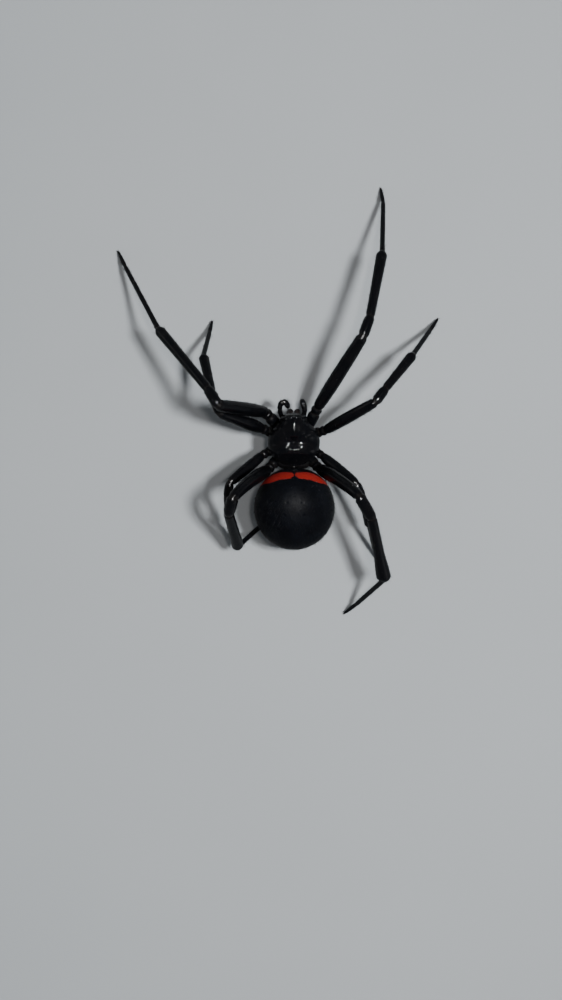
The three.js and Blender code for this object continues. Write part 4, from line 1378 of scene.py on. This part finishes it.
class SpiderStageSizes(bpy.types.PropertyGroup):
    """The floor, the light and the camera"""

    floor_radius: length("Floor", "Half the width of the round floor", 0.36)
    key_size: length("Main light size", "Width of the main soft light", 0.042)
    key_power: watts("Main light", "Power of the main light", 0.9)
    gloss_power: watts("Gloss light", "Power of the small light by the camera", 1.8)
    fill_power: watts("Fill light", "Power of the wide light above", 0.1)
    rim_power: watts("Side light", "Power of each low side light", 0.05)
    horizon: number("Surround", "Brightness of the pale surround", 0.22)
    overhead: number("Overhead", "Brightness of the surround right above", 0.05)


# Operators, one for each piece or group of like pieces

class SPIDER_OT_shield(bpy.types.Operator):
    """Build the shield over the front body and the soft skin below it"""

    bl_idname = "spider.shield"
    bl_label = "Shield"

    def execute(self, context):
        shield = build_shield(context.scene.spider_body)
        finished(shield, "shell", material_for("black_shell"), "cephalothorax")
        finished(build_flank(), "joint_skin", material_for("soft_skin"))
        return {"FINISHED"}


class SPIDER_OT_eyes(bpy.types.Operator):
    """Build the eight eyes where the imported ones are"""

    bl_idname = "spider.eyes"
    bl_label = "Eyes"

    def execute(self, context):
        for name, (centre, radius) in eye_places().items():
            # The upper middle eyes get the pale finish, which is partly a painted highlight
            look = "eye_pale" if name.startswith("eye_rear_middle") else "eye_dark"
            finished(build_eye(name, centre, radius), "eye", material_for(look), name)
        return {"FINISHED"}


class SPIDER_OT_underside(bpy.types.Operator):
    """Build the plate between the leg roots and the mouth plates"""

    bl_idname = "spider.underside"
    bl_label = "Plates below"

    def execute(self, context):
        plate, mouth = build_sternum()
        finished(plate, "shell", material_for("black_shell"), "sternum")
        finished(mouth, "jaw", material_for("brown_shell"))
        return {"FINISHED"}


class SPIDER_OT_jaws(bpy.types.Operator):
    """Build the two jaws and their fangs"""

    bl_idname = "spider.jaws"
    bl_label = "Jaws and fangs"

    def execute(self, context):
        for hand in HANDS:
            jaw, fang = build_jaw(hand)
            finished(jaw, "jaw", material_for("brown_shell"), f"chelicera_{hand}")
            finished(fang, "jaw", material_for("fang_horn"))
        return {"FINISHED"}


class SPIDER_OT_feelers(bpy.types.Operator):
    """Build the two feelers and their claws"""

    bl_idname = "spider.feelers"
    bl_label = "Feelers"

    def execute(self, context):
        for hand in HANDS:
            skin, claw = build_palp(hand)
            finished(skin, "leg_shell", material_for("leg_gloss"), f"palp_{hand}")
            finished(claw, "jaw", material_for("claw_horn"))
        return {"FINISHED"}


class SPIDER_OT_legs(bpy.types.Operator):
    """Build the eight legs, each one skin, and their claws"""

    bl_idname = "spider.legs"
    bl_label = "Legs and claws"

    def execute(self, context):
        for name in LEGS:
            skin, toe = build_leg(name, context.scene.spider_legs)
            nodes = [f"leg_{name}_{part}" for part in LEG_PARTS]
            finished(skin, "leg_shell", material_for("leg_gloss"), *nodes)
            finished(build_claws(name, toe), "jaw", material_for("claw_horn"))
        return {"FINISHED"}


class SPIDER_OT_abdomen(bpy.types.Operator):
    """Build the abdomen with its red marks, and the waist before it"""

    bl_idname = "spider.abdomen"
    bl_label = "Abdomen and waist"

    def execute(self, context):
        abdomen = build_abdomen(context.scene.spider_body)
        finished(abdomen, "abdomen_skin", material_for("abdomen_satin"), "abdomen")
        finished(build_waist(), "joint_skin", material_for("leg_gloss"), "pedicel")
        return {"FINISHED"}


class SPIDER_OT_spinnerets(bpy.types.Operator):
    """Build the spinnerets under the rear of the abdomen"""

    bl_idname = "spider.spinnerets"
    bl_label = "Spinnerets"

    def execute(self, context):
        finished(build_spinnerets(), "joint_skin", material_for("brown_shell"), "spinnerets")
        return {"FINISHED"}


class SPIDER_OT_coat(bpy.types.Operator):
    """Set bristles on the abdomen, the legs, the feelers and the shield"""

    bl_idname = "spider.coat"
    bl_label = "Bristles"

    def execute(self, context):
        sizes = context.scene.spider_coat
        seed = sizes.seed

        def coat(name, skin, slot, count, long, thick, lean, spread):
            nonlocal seed
            seed += 1
            bristles(name, bpy.data.objects[skin], slot, **{
                "Count per area": count / (MM * MM), "Length": long,
                "Thickness": thick * sizes.thickness, "Lean": lean, "Spread": spread, "Seed": seed})

        body, down, leg = sizes.body_length, sizes.down_length, sizes.leg_length
        skin = "abdomen_skin"
        coat("abdomen_bristles", skin, skin, sizes.body_count, body, 1.0, 1.5, 0.3)
        coat("abdomen_down", skin, skin, sizes.down_count, down, 0.7, 2.6, 0.5)
        count = sizes.shield_count
        coat("shield_bristles", "shield", "shell", count, sizes.shield_length, 0.7, 2.0, 0.5)
        coat("plate_bristles", "sternum_plate", "shell", count, body * 0.7, 0.8, 1.2, 0.4)
        for name in LEGS:
            skin = f"leg_{name}_skin"
            coat(f"leg_{name}_bristles", skin, "leg_shell", sizes.leg_count, leg, 0.85, 1.5, 0.28)
        for hand in HANDS:
            skin, count = f"feeler_{hand}", sizes.feeler_count
            coat(f"feeler_bristles_{hand}", skin, "leg_shell", count, leg * 0.8, 0.8, 1.3, 0.3)
            skin, count = f"jaw_{hand}", sizes.jaw_count
            coat(f"jaw_bristles_{hand}", skin, "jaw", count, leg * 0.6, 0.7, 1.2, 0.4)
        skin, count = "spinneret_group", sizes.spinneret_count
        coat("spinneret_bristles", skin, "joint_skin", count, leg * 0.55, 0.7, 0.9, 0.4)
        return {"FINISHED"}


class SPIDER_OT_stage(bpy.types.Operator):
    """Lay the floor and set up the soft light and the camera"""

    bl_idname = "spider.stage"
    bl_label = "Floor, light and camera"

    def execute(self, context):
        sizes = context.scene.spider_stage
        lay_floor(sizes.floor_radius)
        for name, (place, size, energy, lights, shows) in LIGHTS.items():
            size = getattr(sizes, size) if isinstance(size, str) else size
            set_light(name, place, size, getattr(sizes, energy), lights, shows)
        set_surround(context.scene, sizes.horizon, sizes.overhead)
        set_camera(context.scene)
        return {"FINISHED"}


class SPIDER_PT_panel(bpy.types.Panel):
    """Lists the spider's settings and pieces"""

    bl_idname = "SPIDER_PT_panel"
    bl_label = "Black widow spider"
    bl_space_type = "VIEW_3D"
    bl_region_type = "UI"
    bl_category = "Spider"

    def draw(self, context):
        column = self.layout.column(align=True)
        for kind in OPERATORS:
            column.operator(kind.bl_idname)
        for label, group_type in SETTINGS.items():
            settings = getattr(context.scene, label)
            box = self.layout.box()
            for key in group_type.__annotations__:
                box.prop(settings, key)


SETTINGS = {
    "spider_body": SpiderBodySizes,
    "spider_legs": SpiderLegSizes,
    "spider_coat": SpiderCoatSizes,
    "spider_colours": SpiderColours,
    "spider_stage": SpiderStageSizes,
}
OPERATORS = (
    SPIDER_OT_stage, SPIDER_OT_shield, SPIDER_OT_eyes, SPIDER_OT_underside, SPIDER_OT_jaws,
    SPIDER_OT_feelers, SPIDER_OT_legs, SPIDER_OT_abdomen, SPIDER_OT_spinnerets, SPIDER_OT_coat,
)


def register():
    for kind in (*SETTINGS.values(), *OPERATORS, SPIDER_PT_panel):
        bpy.utils.register_class(kind)
    for label, kind in SETTINGS.items():
        setattr(bpy.types.Scene, label, PointerProperty(type=kind))


def unregister():
    for label in SETTINGS:
        delattr(bpy.types.Scene, label)
    for kind in reversed((*SETTINGS.values(), *OPERATORS, SPIDER_PT_panel)):
        bpy.utils.unregister_class(kind)


def main():
    register()
    bpy.ops.spider.stage()
    bpy.ops.spider.shield()
    bpy.ops.spider.eyes()
    bpy.ops.spider.underside()
    bpy.ops.spider.jaws()
    bpy.ops.spider.feelers()
    bpy.ops.spider.legs()
    bpy.ops.spider.abdomen()
    bpy.ops.spider.spinnerets()
    bpy.ops.spider.coat()


if __name__ == "__main__":
    main()
